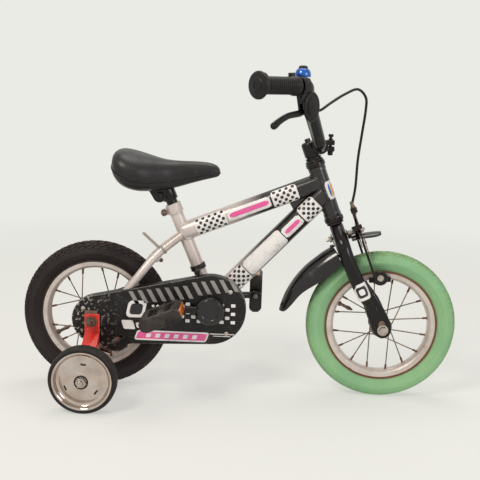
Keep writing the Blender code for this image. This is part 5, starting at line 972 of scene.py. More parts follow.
class BIKE_OT_frame(bpy.types.Operator):
    """Welded frame tubes, stays, dropouts, gusset and weld beads"""
    bl_idname = "bike.frame"
    bl_label = "Frame"

    def execute(self, context):
        top_way = TOP_END - TOP_START
        down_way = DOWN_END - BB
        head = [(13.6, 0), (17, 0), (17.3, 0.6), (17.3, 6.4), (16.5, 7.2), (16.5, 93.8), (17.3, 94.6),
                (17.3, 100.4), (17, 101), (13.6, 101)]
        shell = [(24.6, -29), (26.4, -29), (27, -28.4), (27, 28.4), (26.4, 29), (24.6, 29)]
        tubes = [turned("head", HEAD_BASE, STEER_UP, head, 40), straight_tube(TOP_START, TOP_END, 18.5),
                 straight_tube(BB + down_way.normalized() * 24, DOWN_END, 21),
                 straight_tube(BB + SEAT_UP * 24, SEAT_TUBE_END, 12.7, 32),
                 turned("shell", BB, ACROSS, shell, 48)]
        crotch = [(TOP_END.x - 62, TOP_END.z - 40), (TOP_END.x - 8, TOP_END.z - 14),
                  (DOWN_END.x, DOWN_END.z - 10), (DOWN_END.x - 50, DOWN_END.z - 52)]
        tubes.append(plate("gusset", [(x, z) for x, z in crotch], (0, 4, 0), (1, 0, 0), UP, 8, 0.8))
        for side in (RIGHT, LEFT):
            tubes += [seatstay(side), chainstay(side), dropout(side)]
        bridge = STAY_TOP.lerp(REAR_AXLE, 0.30)
        tubes.append(bar("bridge", bridge - ACROSS * 24, bridge + ACROSS * 24, 6, 20))
        dress(joined("tubes", *tubes), "frame_tubes", "frame", "silver_paint", ["main_frame"])
        beads = [weld(TOP_START.lerp(TOP_END, 0.5), top_way, 18.5, HEAD_BASE, STEER_UP, 16.5),
                 weld(TOP_START.lerp(TOP_END, 0.5), -top_way, 18.5, BB, SEAT_UP, 12.7),
                 weld(BB.lerp(DOWN_END, 0.5), down_way, 21, HEAD_BASE, STEER_UP, 16.5),
                 weld(BB.lerp(DOWN_END, 0.5), -down_way, 21, BB, ACROSS, 27),
                 weld(BB + SEAT_UP * 90, -SEAT_UP, 12.7, BB, ACROSS, 27, 1.8)]
        for side in (RIGHT, LEFT):
            beads.append(weld(STAY_TOP + STAY_RUN * 40 + ACROSS * side * 15,
                              -STAY_RUN - ACROSS * side * 0.17, 8, BB, SEAT_UP, 12.7, 1.4))
            beads.append(weld(BB + Vector((-50, side * 20, -8)), Vector((1, 0, 0.1)), 7, BB, ACROSS, 27, 1.4))
        dress(joined("beads", *beads), "frame_welds", "frame", "silver_paint", angle=80)
        return {"FINISHED"}


# Printed films, all plain shapes

def film(name, outline, start, along, around, radius, thickness=0.25):
    """Film rolled on a tube: outline holds its ends along the tube and the degrees around it."""
    low, high, first, last = outline
    columns, rows = max(4, int((high - low) / 4)), max(4, int((last - first) / 8))
    pick()
    bpy.ops.mesh.primitive_grid_add(x_subdivisions=columns, y_subdivisions=rows, size=1)
    piece = bpy.context.view_layer.objects.active
    side = along.cross(around)
    corner = min(6.0, (high - low) / 4)
    for vertex in piece.data.vertices:
        u, v = vertex.co.x + 0.5, vertex.co.y + 0.5
        edge = abs(v - 0.5) * 2
        slack = corner * max(0.0, edge - 0.7) / 0.3 * (edge - 0.7) / 0.3 if edge > 0.7 else 0.0
        reach = low + slack + (high - low - 2 * slack) * u
        angle = radians(first + (last - first) * v)
        vertex.co = (start + along * reach + (around * cos(angle) + side * sin(angle)) * radius) * MM
    edit_all()
    bpy.ops.mesh.normals_make_consistent(inside=False)
    edit_done()
    outward = piece.data.polygons[0].normal.dot(piece.data.polygons[0].center - (start + along * low) * MM)
    wall = piece.modifiers.new("wall", "SOLIDIFY")
    wall.thickness = thickness * MM
    wall.offset = 1 if outward > 0 else -1
    bpy.ops.object.modifier_apply(modifier=wall.name)
    return tidy(piece)


def spotted(name, start, along, around, radius, low, high, first, last, pitch=6.4, size=6.2):
    """White film with a chequer of black squares laid on it."""
    base = film(name, (low, high, first, last), start, along, around, radius + 0.1)
    marks = []
    rows = int((radians(last - first) * radius - 3) / pitch)
    columns = int((high - low - 3) / pitch)
    step = (last - first) / (rows + 0.4)
    half = size / 2 / radius * 57.3
    for row in range(rows):
        middle = first + step * (row + 0.7)
        for column in range(row % 2, columns, 2):
            centre = low + (high - low - pitch * columns) / 2 + pitch * (column + 0.5)
            patch = (centre - size / 2, centre + size / 2, middle - half, middle + half)
            marks.append(film("mark", patch, start, along, around, radius + 0.3, 0.15))
    return base, joined(name + "_marks", *marks)


class BIKE_OT_frame_films(bpy.types.Operator):
    """Plain printed panels on the top and down tubes, and the badge plate"""
    bl_idname = "bike.frame_films"
    bl_label = "Frame films"

    def execute(self, context):
        white, black, pink = "print_white", "print_black", "print_pink"
        top_way, down_way = (TOP_END - TOP_START).normalized(), (DOWN_END - BB).normalized()
        count = 0
        for side in (RIGHT, LEFT):
            out = ACROSS * side
            panels = [(TOP_START, top_way, 18.5, 28, 90), (TOP_START, top_way, 18.5, 186, 238),
                      (BB, down_way, 21, 62, 97), (BB, down_way, 21, 250, 290)]
            for start, way, radius, low, high in panels:
                count += 1
                base, marks = spotted("panel", start, way, out, radius, low, high, -58, 58)
                dress(base, f"panel_{count}", "frame", "silver_paint", look=white)
                dress(marks, f"panel_{count}_squares", "frame", "silver_paint", look=black)
            name = SIDE_NAMES[side]
            strips = [(TOP_START, top_way, 18.5, (94, 182, -34, 34), 0.1, white, "top_outline"),
                      (TOP_START, top_way, 18.5, (98, 178, -15, 15), 0.35, pink, "top_strip"),
                      (BB, down_way, 21, (200, 247, -30, 30), 0.1, white, "down_outline"),
                      (BB, down_way, 21, (205, 242, -11, 11), 0.35, pink, "down_strip"),
                      (BB, down_way, 21, (100, 198, -52, 52), 0.15, white, "blank_label")]
            for start, way, radius, patch, lift, material, label in strips:
                piece = film(label, patch, start, way, out, radius + lift)
                dress(piece, label + "_" + name, "frame", "silver_paint", look=material)
        facing = (STEER_FORWARD * 0.8 - ACROSS * 0.6).normalized()
        for label, patch, lift, ink in (("badge", (34, 70, -42, 42), 0.1, "print_white"),
                ("badge_left", (40, 64, -24, -10), 0.35, "print_blue"),
                ("badge_middle", (38, 66, -7, 7), 0.35, "print_yellow"),
                ("badge_right", (40, 64, 10, 24), 0.35, "print_pink")):
            piece = film(label, patch, HEAD_BASE, STEER_UP, facing, 16.5 + lift)
            dress(piece, "head_" + label, "frame", "silver_paint", look=ink)
        return {"FINISHED"}


# Fork, front brake and mudguards

def fork_blade(side):
    lateral = ACROSS * side
    tip = FRONT_AXLE + lateral * 42.5
    places = [HEAD_BASE - STEER_UP * 24 + lateral * 3, HEAD_BASE - STEER_UP * 36 + lateral * 17.6,
              HEAD_BASE - STEER_UP * 56 + lateral * 36.1, HEAD_BASE - STEER_UP * 84 + lateral * 42,
              FRONT_AXLE + STEER_UP * 84 - STEER_FORWARD * 14 + lateral * 42,
              tip + STEER_UP * 40 - STEER_FORWARD * 3]
    route = smooth_route(places, 7)
    taper = []
    for index in range(len(route)):
        left = len(route) - 1 - index
        taper.append(1.0 if left > 9 else 0.5 + 0.5 * sin(left / 9 * pi / 2))
    return tube("blade", route, 13.5, taper, 28)


def fork_tip(side):
    """The flattened blade end: a rounded paddle round the axle."""
    outline = [(100, -9), (88, -13.5), (76, -16.8), (50, -18.4), (22, -19), (8, -18.7), (-3, -17.4),
               (-10, -13.6),
               (-15.4, -8), (-17.4, 0), (-15.4, 8), (-10, 13.8), (-3, 17.2), (8, 18.6), (24, 17.8),
               (40, 15.6), (58, 10.6), (76, 4.6), (100, 1)]
    inner = FRONT_AXLE + ACROSS * (39 if side > 0 else -46)
    flat = [(-ahead, along) for along, ahead in outline]
    piece = plate("tip", flat, inner, -STEER_FORWARD, STEER_UP, 7, 2.6, 4)
    return piece


class BIKE_OT_fork(bpy.types.Operator):
    """Fork with curved blades, brake bolt, axle and bearing parts"""
    bl_idname = "bike.fork"
    bl_label = "Fork"

    def execute(self, context):
        steel = [turned("steerer", HEAD_BASE - STEER_UP * 30, STEER_UP,
                        [(11.4, 0), (12.7, 0), (12.7, 150.6), (11.4, 150.6)], 28),
                 turned("race", HEAD_BASE - STEER_UP * 16, STEER_UP,
                        [(12, 0), (16, 0), (17, 0.8), (17, 4.4), (16, 5.3), (12, 5.3)], 36),
                 bar("crown", CROWN + STEER_UP * 4 - ACROSS * 26, CROWN + STEER_UP * 4 + ACROSS * 26, 12.5,
                 32)]
        for side in (RIGHT, LEFT):
            steel += [fork_blade(side), fork_tip(side)]
        dress(joined("fork", *steel), "fork_blades", "steerer", "black_paint", ["fork"], 40)
        for node, slot in (("brake_pivot_bolt", "zinc"), ("front_axle", "zinc"),
                ("headset_locknut", "black_paint")):
            refined(node, "steerer", slot, 0.3)
        for side in (RIGHT, LEFT):
            base = FRONT_AXLE + ACROSS * side * 46.6
            out = ray(radians(102))
            ear = [(-7.5, -8.5), (7.5, -8.5), (9, 2), (6, 15), (2.5, 19.5), (-2.5, 19.5), (-6, 15), (-9, 2)]
            tab_at = FRONT_AXLE + ACROSS * (46.1 if side > 0 else -47.3)
            tab = plate("tab", ear, tab_at, out.cross(ACROSS) * -side, out, 1.2, 0.3)
            dress(tab, "keyed_washer_front_" + SIDE_NAMES[side], "steerer", "zinc", look="rusty_steel")
            dress(nut("nut", base, ACROSS * side, 15, 8, 9.5), "axle_nut_front_" + SIDE_NAMES[side],
                    "steerer", "zinc")
        for side, name in SIDE_NAMES.items():
            place = FRONT_AXLE + ACROSS * side * 42 + STEER_UP * 84 - STEER_FORWARD * 14
            way = (HEAD_BASE - STEER_UP * 84 - (FRONT_AXLE + STEER_UP * 84 - STEER_FORWARD * 14)).normalized()
            for label, patch, lift, ink in (("patch", (-13, 21, -72, 72), 0.1, "print_white"),
                    ("patch_ring", (-7, 15, -46, 46), 0.35, "print_black"),
                    ("patch_middle", (-2, 10, -24, 24), 0.6, "print_white")):
                dress(film(label, patch, place, way, ACROSS * side, 13.5 + lift), f"blade_{label}_{name}",
                      "steerer", "black_paint", look=ink)
        return {"FINISHED"}


class BIKE_OT_headset(bpy.types.Operator):
    """Bearing cups in the head tube"""
    bl_idname = "bike.headset"
    bl_label = "Headset"

    def execute(self, context):
        lower = [(12.9, -11), (17.6, -11), (19, -9.4), (19, -3), (17.4, -1.4), (17.4, -0.3), (12.9, -0.3)]
        upper = [(radius, -along) for radius, along in lower]
        for label, place, outline in (("lower_cup", HEAD_BASE, lower), ("upper_cup", HEAD_TOP, upper)):
            dress(turned("cup", place, STEER_UP, outline, 44), label + "_pressed", "frame", "black_paint",
                  ["headset_" + label])
        return {"FINISHED"}


PAD_AHEAD, PAD_UP = 48.0, -96.4


class BIKE_OT_front_brake(bpy.types.Operator):
    """Brake arms with their pads, and the return spring wire"""
    bl_idname = "bike.front_brake"
    bl_label = "Front brake"

    def execute(self, context):
        for side, body in ((RIGHT, "caliper_r"), (LEFT, "caliper_l")):
            name = SIDE_NAMES[side]
            refined("caliper_arm_" + name, body, "black_paint", 1.1, 40)
            refined("brake_pad_" + name, body, "black_rubber", 0.7)
            out = ACROSS * side
            at = crown_point(PAD_AHEAD, PAD_UP) + out * 37.6
            holder = turned("holder", at, out, [(0, -1), (12, -1), (14, 0), (14.4, 1.6), (13.2, 3.2),
                    (9, 3.9), (8.2, 3.4), (0, 3.4)], 36)
            dress(holder, "pad_holder_" + name, body, "black_paint")
            threaded = bar("end", at, at + out * 9.4, 2.8, 16, 0.4)
            dress(joined("pad_nut", nut("nut", at + out * 3.4, out, 10, 4, 6.6), threaded),
                  "pad_nut_" + name, body, "zinc")
            ahead = 36.5 if side > 0 else 42
            spring = smooth_route([crown_point(ahead, 8, side * 4), crown_point(ahead, 12, side * 14),
                    crown_point(ahead, 2, side * 29), crown_point(ahead, -24, side * 38.5),
                    crown_point(ahead, -44, side * 36)], 4)
            dress(tube("spring", spring, 0.9, sides=8), "brake_spring_" + name, body, "zinc",
                    look="rusty_steel")
        return {"FINISHED"}


def mudguard(name, stations, node, tab):
    """A thin, softly crowned guard, and the bracket that hangs it on the brake bolt."""
    spoke_line = CROWN - FRONT_AXLE
    lean = atan2(spoke_line.z, spoke_line.x)
    rows = smooth_route(stations, 4)
    rings = []
    for angle, crest, half, depth in rows:
        turn = lean + radians(angle)
        out = ray(turn)
        outer, inner = [], []
        for step in range(17):
            t = radians(-90 + 11.25 * step)
            drop = 1 - cos(t)
            reach = spoke_line.length + crest
            outer.append(FRONT_AXLE + out * (reach - depth * drop) + ACROSS * half * sin(t))
            inner.append(FRONT_AXLE + out * (reach - 1.8 - (depth - 1.6) * drop)
                         + ACROSS * (half - 1.8) * sin(t))
        rings.append(outer + list(reversed(inner)))
    shell = skinned("shell", rings)
    ahead, low, high, reach, join = tab
    axes = (STEER_FORWARD, ACROSS, STEER_UP)
    upright = block("upright", crown_point(ahead, (low + high) / 2), (1.8, 15, high - low), axes, 0.6)
    level = block("level", crown_point(ahead + reach / 2, join), (abs(reach), 13, 2.2), axes, 0.6)
    rivet = turned("rivet", crown_point(ahead + reach * 0.6, join + 1), STEER_UP,
                   [(0, 0), (4, 0), (3.6, 1.4), (2.2, 2.4), (0, 2.7)], 16)
    dress(joined(name, shell, upright, level, rivet), name, "steerer", "black_plastic",
          [node], 50, look="gloss_plastic")


class BIKE_OT_mudguards(bpy.types.Operator):
    """The short moulded guards behind and ahead of the fork"""
    bl_idname = "bike.mudguards"
    bl_label = "Mudguards"

    def execute(self, context):
        rear = [(6.5, -11, 29, 33), (12, -9.5, 30.5, 38), (19, -8, 31.5, 40), (26, -5, 31.5, 40),
                (33, -2, 31, 35), (42, 2, 28, 26), (50, 5, 24, 20), (55, 7, 18, 14), (57, 7.5, 12, 9)]
        mudguard("rear_half_guard", rear, "mudguard_rear", (-15.5, -15.4, 9, -10, -14.6))
        front = [(-5.8, -8, 19, 7), (-12, -8, 19, 7.5), (-18, -8, 19, 8), (-22, -8, 17, 7), (-24, -8, 12, 5)]
        mudguard("front_half_guard", front, "mudguard_front", (15.5, -10, 8, 6, -8.6))
        return {"FINISHED"}


# Handlebar and what it carries

def bar_half(side):
    """The handlebar's line on one side, from beside the stem to just inside the grip's end."""
    places = [CLAMP + ACROSS * 20, CLAMP + Vector((-3, 37, 7)), CLAMP + Vector((-9, 52, 26)),
              CLAMP + Vector((-26, 104, 76)), CLAMP + Vector((-33, 132, 101)), BAR_END + BAR_INWARD * 116,
              BAR_END + BAR_INWARD * 92, BAR_END + BAR_INWARD * 8]
    return [mirrored(point, side) for point in smooth_route(places, 8)]


LEVER_OUT = Vector((-BAR_INWARD.x, BAR_INWARD.y, 0))
LEVER_PIN = LEVER_OUT.cross(UP)


def lever_point(along, up, sideways=0.0):
    """A place at the brake lever: out along the grip, up, and along the lever's pivot."""
    centre = mirrored(BAR_END + BAR_INWARD * 106, RIGHT)
    return centre + LEVER_OUT * along + UP * up + LEVER_PIN * sideways


class BIKE_OT_stem_and_bar(bpy.types.Operator):
    """Quill stem with its split clamp, and the raised handlebar"""
    bl_idname = "bike.stem_and_bar"
    bl_label = "Stem and handlebar"

    def execute(self, context):
        body = HEAD_TOP + STEER_UP * 22.1
        quill = [(0, 0), (10.6, 0), (11.1, 0.8), (11.1, 76), (0, 76)]
        parts = [turned("quill", HEAD_TOP - STEER_UP * 46, STEER_UP, quill, 32),
                 turned("body", body, STEER_UP, [(0, 0), (13, 0), (14.4, 1), (15, 3), (15, 24), (14.2, 27.4),
                                                 (12, 29.4), (9, 30), (0, 30)], 40),
                 nut("bolt", body + STEER_UP * 28, STEER_UP, 11, 8)]
        ring = turned("ring", CLAMP, ACROSS, [(11.3, -17), (14.4, -17), (15.1, -16.2), (15.1, 16.2),
                (14.4, 17), (11.3, 17)], 40)
        ears = [block("ear", CLAMP + Vector((19, 0, 1 + side * 6.2)), (16, 18, 9.6), edge=1.6, segments=3)
                for side in (1, -1)]
        dress(joined("stem", *parts, ring, *ears), "stem_forged", "cockpit", "black_paint", ["stem"])
        refined("stem_clamp_bolt", "cockpit", "black_paint", 0.3)
        route = list(reversed(bar_half(RIGHT))) + bar_half(LEFT)
        dress(tube("bar", route, 11.1, sides=24), "handlebar_bent", "cockpit", "black_paint", ["handlebar"],
                60)
        return {"FINISHED"}


class BIKE_OT_grips(bpy.types.Operator):
    """Ribbed rubber grips with a hand stop at the outer end"""
    bl_idname = "bike.grips"
    bl_label = "Grips"

    def execute(self, context):
        ribs = context.scene.bike_sizes.grip_ribs
        profile = [(0, -1.5), (10.4, -1.5), (12.6, -1), (13.6, 0.2), (19.6, 0.5), (22.4, 1.4), (23.5, 3.2),
                   (23.5, 5.4), (22.4, 7.2), (20, 8), (18.2, 9.2), (17.2, 11.6), (17, 14), (15.2, 15.2)]
        pitch = 62 / ribs
        for index in range(ribs):
            start = 16.5 + index * pitch
            profile += [(14.9, start), (15.1, start + pitch * 0.18), (15.1, start + pitch * 0.52),
                        (14.3, start + pitch * 0.62), (13.7, start + pitch * 0.8)]
        profile += [(15, 80), (16.6, 82), (17.3, 86), (17.3, 89.5), (16.4, 91.4), (14.5, 92), (11.5, 92),
                    (11.5, 9), (0, 9)]
        for side, name in SIDE_NAMES.items():
            grip = turned("grip", mirrored(BAR_END, side), mirrored(BAR_INWARD, side), profile, 36)
            ring = turned("ring", mirrored(BAR_END - BAR_INWARD * 1.4, side), mirrored(BAR_INWARD, side),
                          [(5.4, -0.6), (9.6, -0.6), (9.6, 0.6), (5.4, 0.6)], 28)
            dress(joined("grip", grip, ring), "grip_ribbed_" + name, "cockpit", "black_plastic",
                  ["grip_" + name], 40, look="grip_rubber")
        return {"FINISHED"}


class BIKE_OT_brake_lever(bpy.types.Operator):
    """The short moulded lever, its housing and its pivot pin"""
    bl_idname = "bike.brake_lever"
    bl_label = "Brake lever"

    def execute(self, context):
        refined("brake_lever_bracket", "cockpit", "black_plastic", 0.9, 40)
        places = [(*lever_point(-10, -39), 0.9), (*lever_point(4, -46), 1.2), (*lever_point(31, -50.5), 1.12),
                  (*lever_point(51, -59), 1.16), (*lever_point(62, -66), 1.3)]
        route = smooth_route(places, 6)
        blade = tube("blade", [point[:3] for point in route], 4.9, [point[3] for point in route], 16)
        tip = turned("ball", lever_point(64, -67), lever_point(64, -67) - lever_point(51, -59),
                     [(0, -6.4), (2.6, -5.9), (4.7, -4.4), (6, -2.2), (6.4, 0), (6, 2.2), (4.7, 4.4),
                     (2.6, 5.9), (0, 6.4)], 24)
        eye = turned("eye", lever_point(-12, -38), LEVER_PIN,
                [(2.8, -3), (6.8, -3), (7.5, -2.3), (7.5, 2.3), (6.8, 3), (2.8, 3)], 28)
        dress(joined("lever", blade, tip, eye), "brake_lever_moulded", "lever", "black_plastic",
                ["brake_lever"], 60)
        middle = lever_point(-13, -35, -8.4)
        oval = [(19 * cos(i * tau / 36), 26 * sin(i * tau / 36)) for i in range(36)]
        cover = plate("cover", oval, middle, LEVER_OUT, UP, -5, 2.2, 4)
        inner = [(u * 0.6, v * 0.6) for u, v in oval]
        raised = plate("raised", inner, lever_point(-13, -35, -13.2), LEVER_OUT, UP, -1.6, 0.7, 3)
        dress(joined("cover", cover, raised), "lever_cover", "cockpit", "black_plastic")
        head = turned("head", lever_point(-12, -38, 8.6), LEVER_PIN,
                      [(0, -1), (3.6, -1), (3.6, 0.3), (2.4, 1.1), (0, 1.2)], 20)
        dress(head, "lever_pin_head", "cockpit", "zinc")
        return {"FINISHED"}


CABLE_FROM_LEVER = ((6.1, -3.8, -7.5), (27.6, 16.2, 6.5), (51.9, 41.2, 20.8), (77.0, 66.2, 30.0),
        (94.0, 81.2, 15.8))
CABLE_TO_STOP = ((13.5, -20.0, 179.9), (9.6, -12.0, 133.1), (5.5, -6.0, 85.5), (4.4, -1.5, 34.4))


class BIKE_OT_brake_cable(bpy.types.Operator):
    """Cable outer from lever to caliper, its ferrules and barrel, and the bare wire below"""
    bl_idname = "bike.brake_cable"
    bl_label = "Brake cable"

    def execute(self, context):
        leaving = lever_point(-36, -33.5)
        stop_top = crown_point(41, 57, -28)
        route = [lever_point(-30.4, -33), leaving] + [leaving + Vector(step) for step in CABLE_FROM_LEVER]
        route += [stop_top + Vector(step) for step in CABLE_TO_STOP] + [stop_top]
        path = smooth_route(route, 8)
        outer = dress(tube("outer", path, 2.5, sides=12), "brake_cable_outer", None, "black_plastic",
                      ["brake_cable"], 60)
        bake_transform(outer)
        stop = crown_point(41, 45, -28)
        barrel = [(0, -9), (2.7, -9), (2.7, 5.3), (4, 5.3), (4.6, 6), (4.6, 9), (4, 9.8), (3.4, 10.4),
                  (3.4, 17), (3, 18), (0, 18)]
        dress(turned("barrel", stop, STEER_UP, barrel, 20), "cable_barrel", "caliper_r", "black_plastic",
              look="rusty_steel")
        wire = joined("wire", bar("wire", stop, crown_point(41, 7, -28), 1.0, 8, 0.2),
                      bar("tail", crown_point(41, 8, -28), crown_point(44, -26, -25), 0.8, 8, 0.2))
        dress(wire, "cable_wire", "caliper_l", "black_plastic", look="rusty_steel")
        ferrule = turned("ferrule", lever_point(-30, -33), -LEVER_OUT,
                         [(0, 0), (3.8, 0), (3.8, 7), (3.2, 8), (0, 8)], 20)
        dress(ferrule, "cable_ferrule", "cockpit", "black_plastic", look="rusty_steel")
        return {"FINISHED"}


class BIKE_OT_bell(bpy.types.Operator):
    """Blue lacquered bell dome on its clamp, with the striker lever"""
    bl_idname = "bike.bell"
    bl_label = "Bell"

    def execute(self, context):
        axis = CLAMP + Vector((-44.2, -136, 123.6))
        refined("bell_base", "cockpit", "black_plastic", 0.5)
        refined("bell_lever", "bell_trigger", "black_plastic", 0.4)
        profile = [(0, 19.2), (4.6, 19.2), (9.3, 17.4), (12, 13.6), (13.2, 6.2), (13.9, 5.6), (14.3, 6.4),
                   (14.1, 10.6), (13.1, 14.6), (11.2, 17.8), (8.6, 20), (5.6, 20.9), (0, 20.9)]
        dress(turned("dome", axis, UP, profile, 40), "bell_dome_lacquered", "cockpit", "blue_metal",
                ["bell_dome"], 50)
        cap = turned("cap", axis, UP, [(0, 20.2), (8.2, 20.2), (8, 22.4), (6.6, 24.2), (4, 25.2),
                (0, 25.4)], 28)
        dress(cap, "bell_cap", "cockpit", "black_plastic")
        return {"FINISHED"}


# Drive

def crank_arm(places, boss, eye):
    """A forged arm: an oval bar along places with a round boss at the spindle and an eye at the pedal."""
    route = smooth_route([(*point, share) for point, share in places], 6)
    arm = tube("arm", [point[:3] for point in route], 8.6, [point[3] for point in route], 20)
    return joined("arm", arm, boss, eye)


class BIKE_OT_crank(bpy.types.Operator):
    """One-piece crank, its bottom bracket cups, chainring and pedal spindles"""
    bl_idname = "bike.crank"
    bl_label = "Crank"

    def execute(self, context):
        parts = [bar("spindle", BB - ACROSS * 67, BB + ACROSS * 67, 7.5, 28)]
        for side, eye_at in ((RIGHT, Vector((-136.9, -80, 183.4))), (LEFT, Vector((32.9, 80, 174.6)))):
            root = BB + ACROSS * side * 67
            middle = root.lerp(eye_at, 0.45) - ACROSS * side * 3
            flat = eye_at - BB
            flat.y = 0
            flat.normalize()
            boss = turned("boss", BB, ACROSS * side,
                    [(7, 60.3), (10.8, 60.3), (12, 61.4), (12, 73.4), (11, 74.8),
                    (8, 75.3), (0, 75.3), (0, 60.3)], 32)
            eye = turned("eye", eye_at, ACROSS * side,
                    [(0, -6), (10.2, -6), (11.5, -4.8), (11.5, 5.2), (10.2, 6.5),
                    (6, 6.5), (6, 5.6), (0, 5.6)], 32)
            places = [(root, 0.98), (middle, 0.84), (eye_at - flat * 14, 0.8), (eye_at - flat * 3, 0.7)]
            parts.append(crank_arm(places, boss, eye))
        parts.append(turned("seat", BB, ACROSS, [(7, -41), (13.4, -41), (14, -40.4), (14, -38.2),
                (13.4, -37.6), (7, -37.6)], 32))
        dress(joined("crank", *parts), "crank_forged", "crankset", "black_paint", ["crank"], 45)
        refined("chainring", "crankset", "zinc", 0.25, 30)
        for side, name in SIDE_NAMES.items():
            refined("pedal_spindle_" + name, "crankset", "zinc", 0.3)
            refined("bb_cup_" + name, "frame", "zinc", 0.3, look="rusty_steel")
        return {"FINISHED"}


class BIKE_OT_crank_cap(bpy.types.Operator):
    """Moulded black cap over the right end of the bottom bracket, cut open for the arm"""
    bl_idname = "bike.crank_cap"
    bl_label = "Crank cap"

    def execute(self, context):
        refined("crank_cap", "crankset", "black_plastic", 1.2, 40, look="gloss_plastic")
        return {"FINISHED"}


PEDAL_INNER, PEDAL_WIDTH = 94, 72


def pedal(side, centre, angle):
    """A block pedal: end plates, barrel, ridged treads and amber reflectors."""
    name = SIDE_NAMES[side]
    body = "pedal_r" if side == RIGHT else "pedal_l"
    turn = Matrix.Rotation(radians(-angle), 3, "Y")
    ahead, rise = turn @ Vector((1, 0, 0)), turn @ UP
    middle = Vector((centre.x, 0, centre.z))
    near, far = side * PEDAL_INNER, side * (PEDAL_INNER + PEDAL_WIDTH)
    shape = [(40, 6), (31, 13), (-31, 13), (-40, 6), (-40, -6), (-31, -13), (31, -13), (40, -6)]
    parts = []
    for place in (min(near, near + side * 7), min(far, far - side * 7)):
        parts.append(plate("end", shape, middle + ACROSS * place, ahead * -1, rise, 7, 1.6, 3))
    barrel = [(5.6, 0), (11, 0), (11.5, 0.6), (11.5, PEDAL_WIDTH), (12, PEDAL_WIDTH + 0.4),
              (11.4, PEDAL_WIDTH + 1.8), (9, PEDAL_WIDTH + 2.4), (0, PEDAL_WIDTH + 2.4), (0, PEDAL_WIDTH - 2),
              (5.6, PEDAL_WIDTH - 2)]
    parts.append(turned("barrel", middle + ACROSS * near, ACROSS * side, barrel, 28))
    for face in (1, -1):
        at = middle + ACROSS * (near + far) / 2 + ahead * face * 30.5
        parts.append(block("tread", at, (15, PEDAL_WIDTH - 8, 22), (ahead, ACROSS, rise), 1.4))
        for lift in (1, -1):
            for column in range(7):
                at = middle + ACROSS * (near + side * (12 + column * 8))
                at = at + ahead * face * 29 + rise * lift * 11.8
                parts.append(block("ridge", at, (13, 4.2, 2.4), (ahead, ACROSS, rise), 0.5, 1))
        for rib in (0.28, 0.5, 0.72):
            at = middle + ACROSS * (near + side * PEDAL_WIDTH * rib) + ahead * face * 17
            parts.append(block("web", at, (14, 2.6, 15), (ahead, ACROSS, rise), 0.5, 1))
    dress(joined("pedal", *parts), "pedal_moulded_" + name, body, "black_plastic",
          ["pedal_" + name], 40, look="dusty_plastic")
    lenses = []
    for face in (1, -1):
        at = middle + ACROSS * (near + far) / 2 + ahead * face * 38.4
        lenses.append(block("lens", at, (5.6, 60, 13.5), (ahead, ACROSS, rise), 1.6, 3))
    dress(joined("lenses", *lenses), "pedal_reflectors_" + name, body, "black_plastic", look="amber")


class BIKE_OT_pedals(bpy.types.Operator):
    """Both block pedals with reflectors"""
    bl_idname = "bike.pedals"
    bl_label = "Pedals"

    def execute(self, context):
        pedal(RIGHT, Vector((-136.9, -80, 183.4)), 22)
        pedal(LEFT, Vector((32.9, 80, 174.6)), 90)
        return {"FINISHED"}


def band(circles, steps, start=0.0):
    """The outline of a band pulled round circles (x, z, radius): points with their outward directions."""
    outline = []
    for index in range(steps):
        way = Vector((cos(start + index * tau / steps), sin(start + index * tau / steps)))
        x, z, radius = max(circles, key=lambda circle: circle[0] * way.x + circle[1] * way.y + circle[2])
        outline.append((Vector((x, z)) + way * radius, way))
    return outline


def chain_line(count):
    """Evenly spaced places along the chain's run, in the side plane."""
    big, small = 56.6, 36.4
    gap = Vector((REAR_AXLE.x - BB.x, REAR_AXLE.z - BB.z))
    start = atan2(gap.y, gap.x) + pi / 2 - asin((big - small) / gap.length)
    points = [point for point, _ in band(((BB.x, BB.z, big), (REAR_AXLE.x, REAR_AXLE.z, small)), 720,
            start + 0.001)]
    lengths, total = [0.0], 0.0
    for index, point in enumerate(points):
        total += (points[(index + 1) % len(points)] - point).length
        lengths.append(total)
    places, place = [], 0
    for step in range(count):
        target = total * step / count
        while lengths[place + 1] < target:
            place += 1
        share = (target - lengths[place]) / (lengths[place + 1] - lengths[place])
        places.append(points[place].lerp(points[(place + 1) % len(points)], share))
    return places


class BIKE_OT_chain(bpy.types.Operator):
    """Roller chain: waisted side plates and rollers all round both sprockets"""
    bl_idname = "bike.chain"
    bl_label = "Chain"

    def execute(self, context):
        count = 60
        places = chain_line(count)
        parts = []
        half = [(-6.35, 0), (-5.2, 2.9), (-3, 4.0), (0, 2.9), (3, 4.0), (5.2, 2.9), (6.35 + 1.9, 2.4),
                (8.7, 0)]
        outline = half + [(u, -v) for u, v in reversed(half[1:-1])]
        for index in range(count):
            here, after = places[index], places[(index + 1) % count]
            way = Vector((after.x - here.x, 0, after.y - here.y))
            middle = Vector(((here.x + after.x) / 2, -36, (here.y + after.y) / 2))
            up = ACROSS.cross(way.normalized())
            spread = 3.3 if index % 2 else 2.1
            for offset in (-spread - 0.55, spread - 0.55):
                shape = [(u * 0.98, v) for u, v in outline]
                parts.append(plate("link", shape, middle + ACROSS * offset, way, up, 1.1, 0))
            pin = Vector((here.x, -36, here.y))
            parts.append(turned("roller", pin, ACROSS,
                    [(0, -4.4), (1.7, -4.4), (1.7, -2), (3.8, -1.6), (3.8, 1.6),
                    (1.7, 2), (1.7, 4.4), (0, 4.4)], 10))
        dress(joined("chain", *parts), "chain_links", "frame", "chain_steel", ["chain"], 30)
        refined("rear_sprocket", "sprocket", "chain_steel", 0.25, 30)
        return {"FINISHED"}


GUARD_CIRCLES = ((-274, 150, 49), (-52, 178, 69))
GUARD_FACE = -59.5


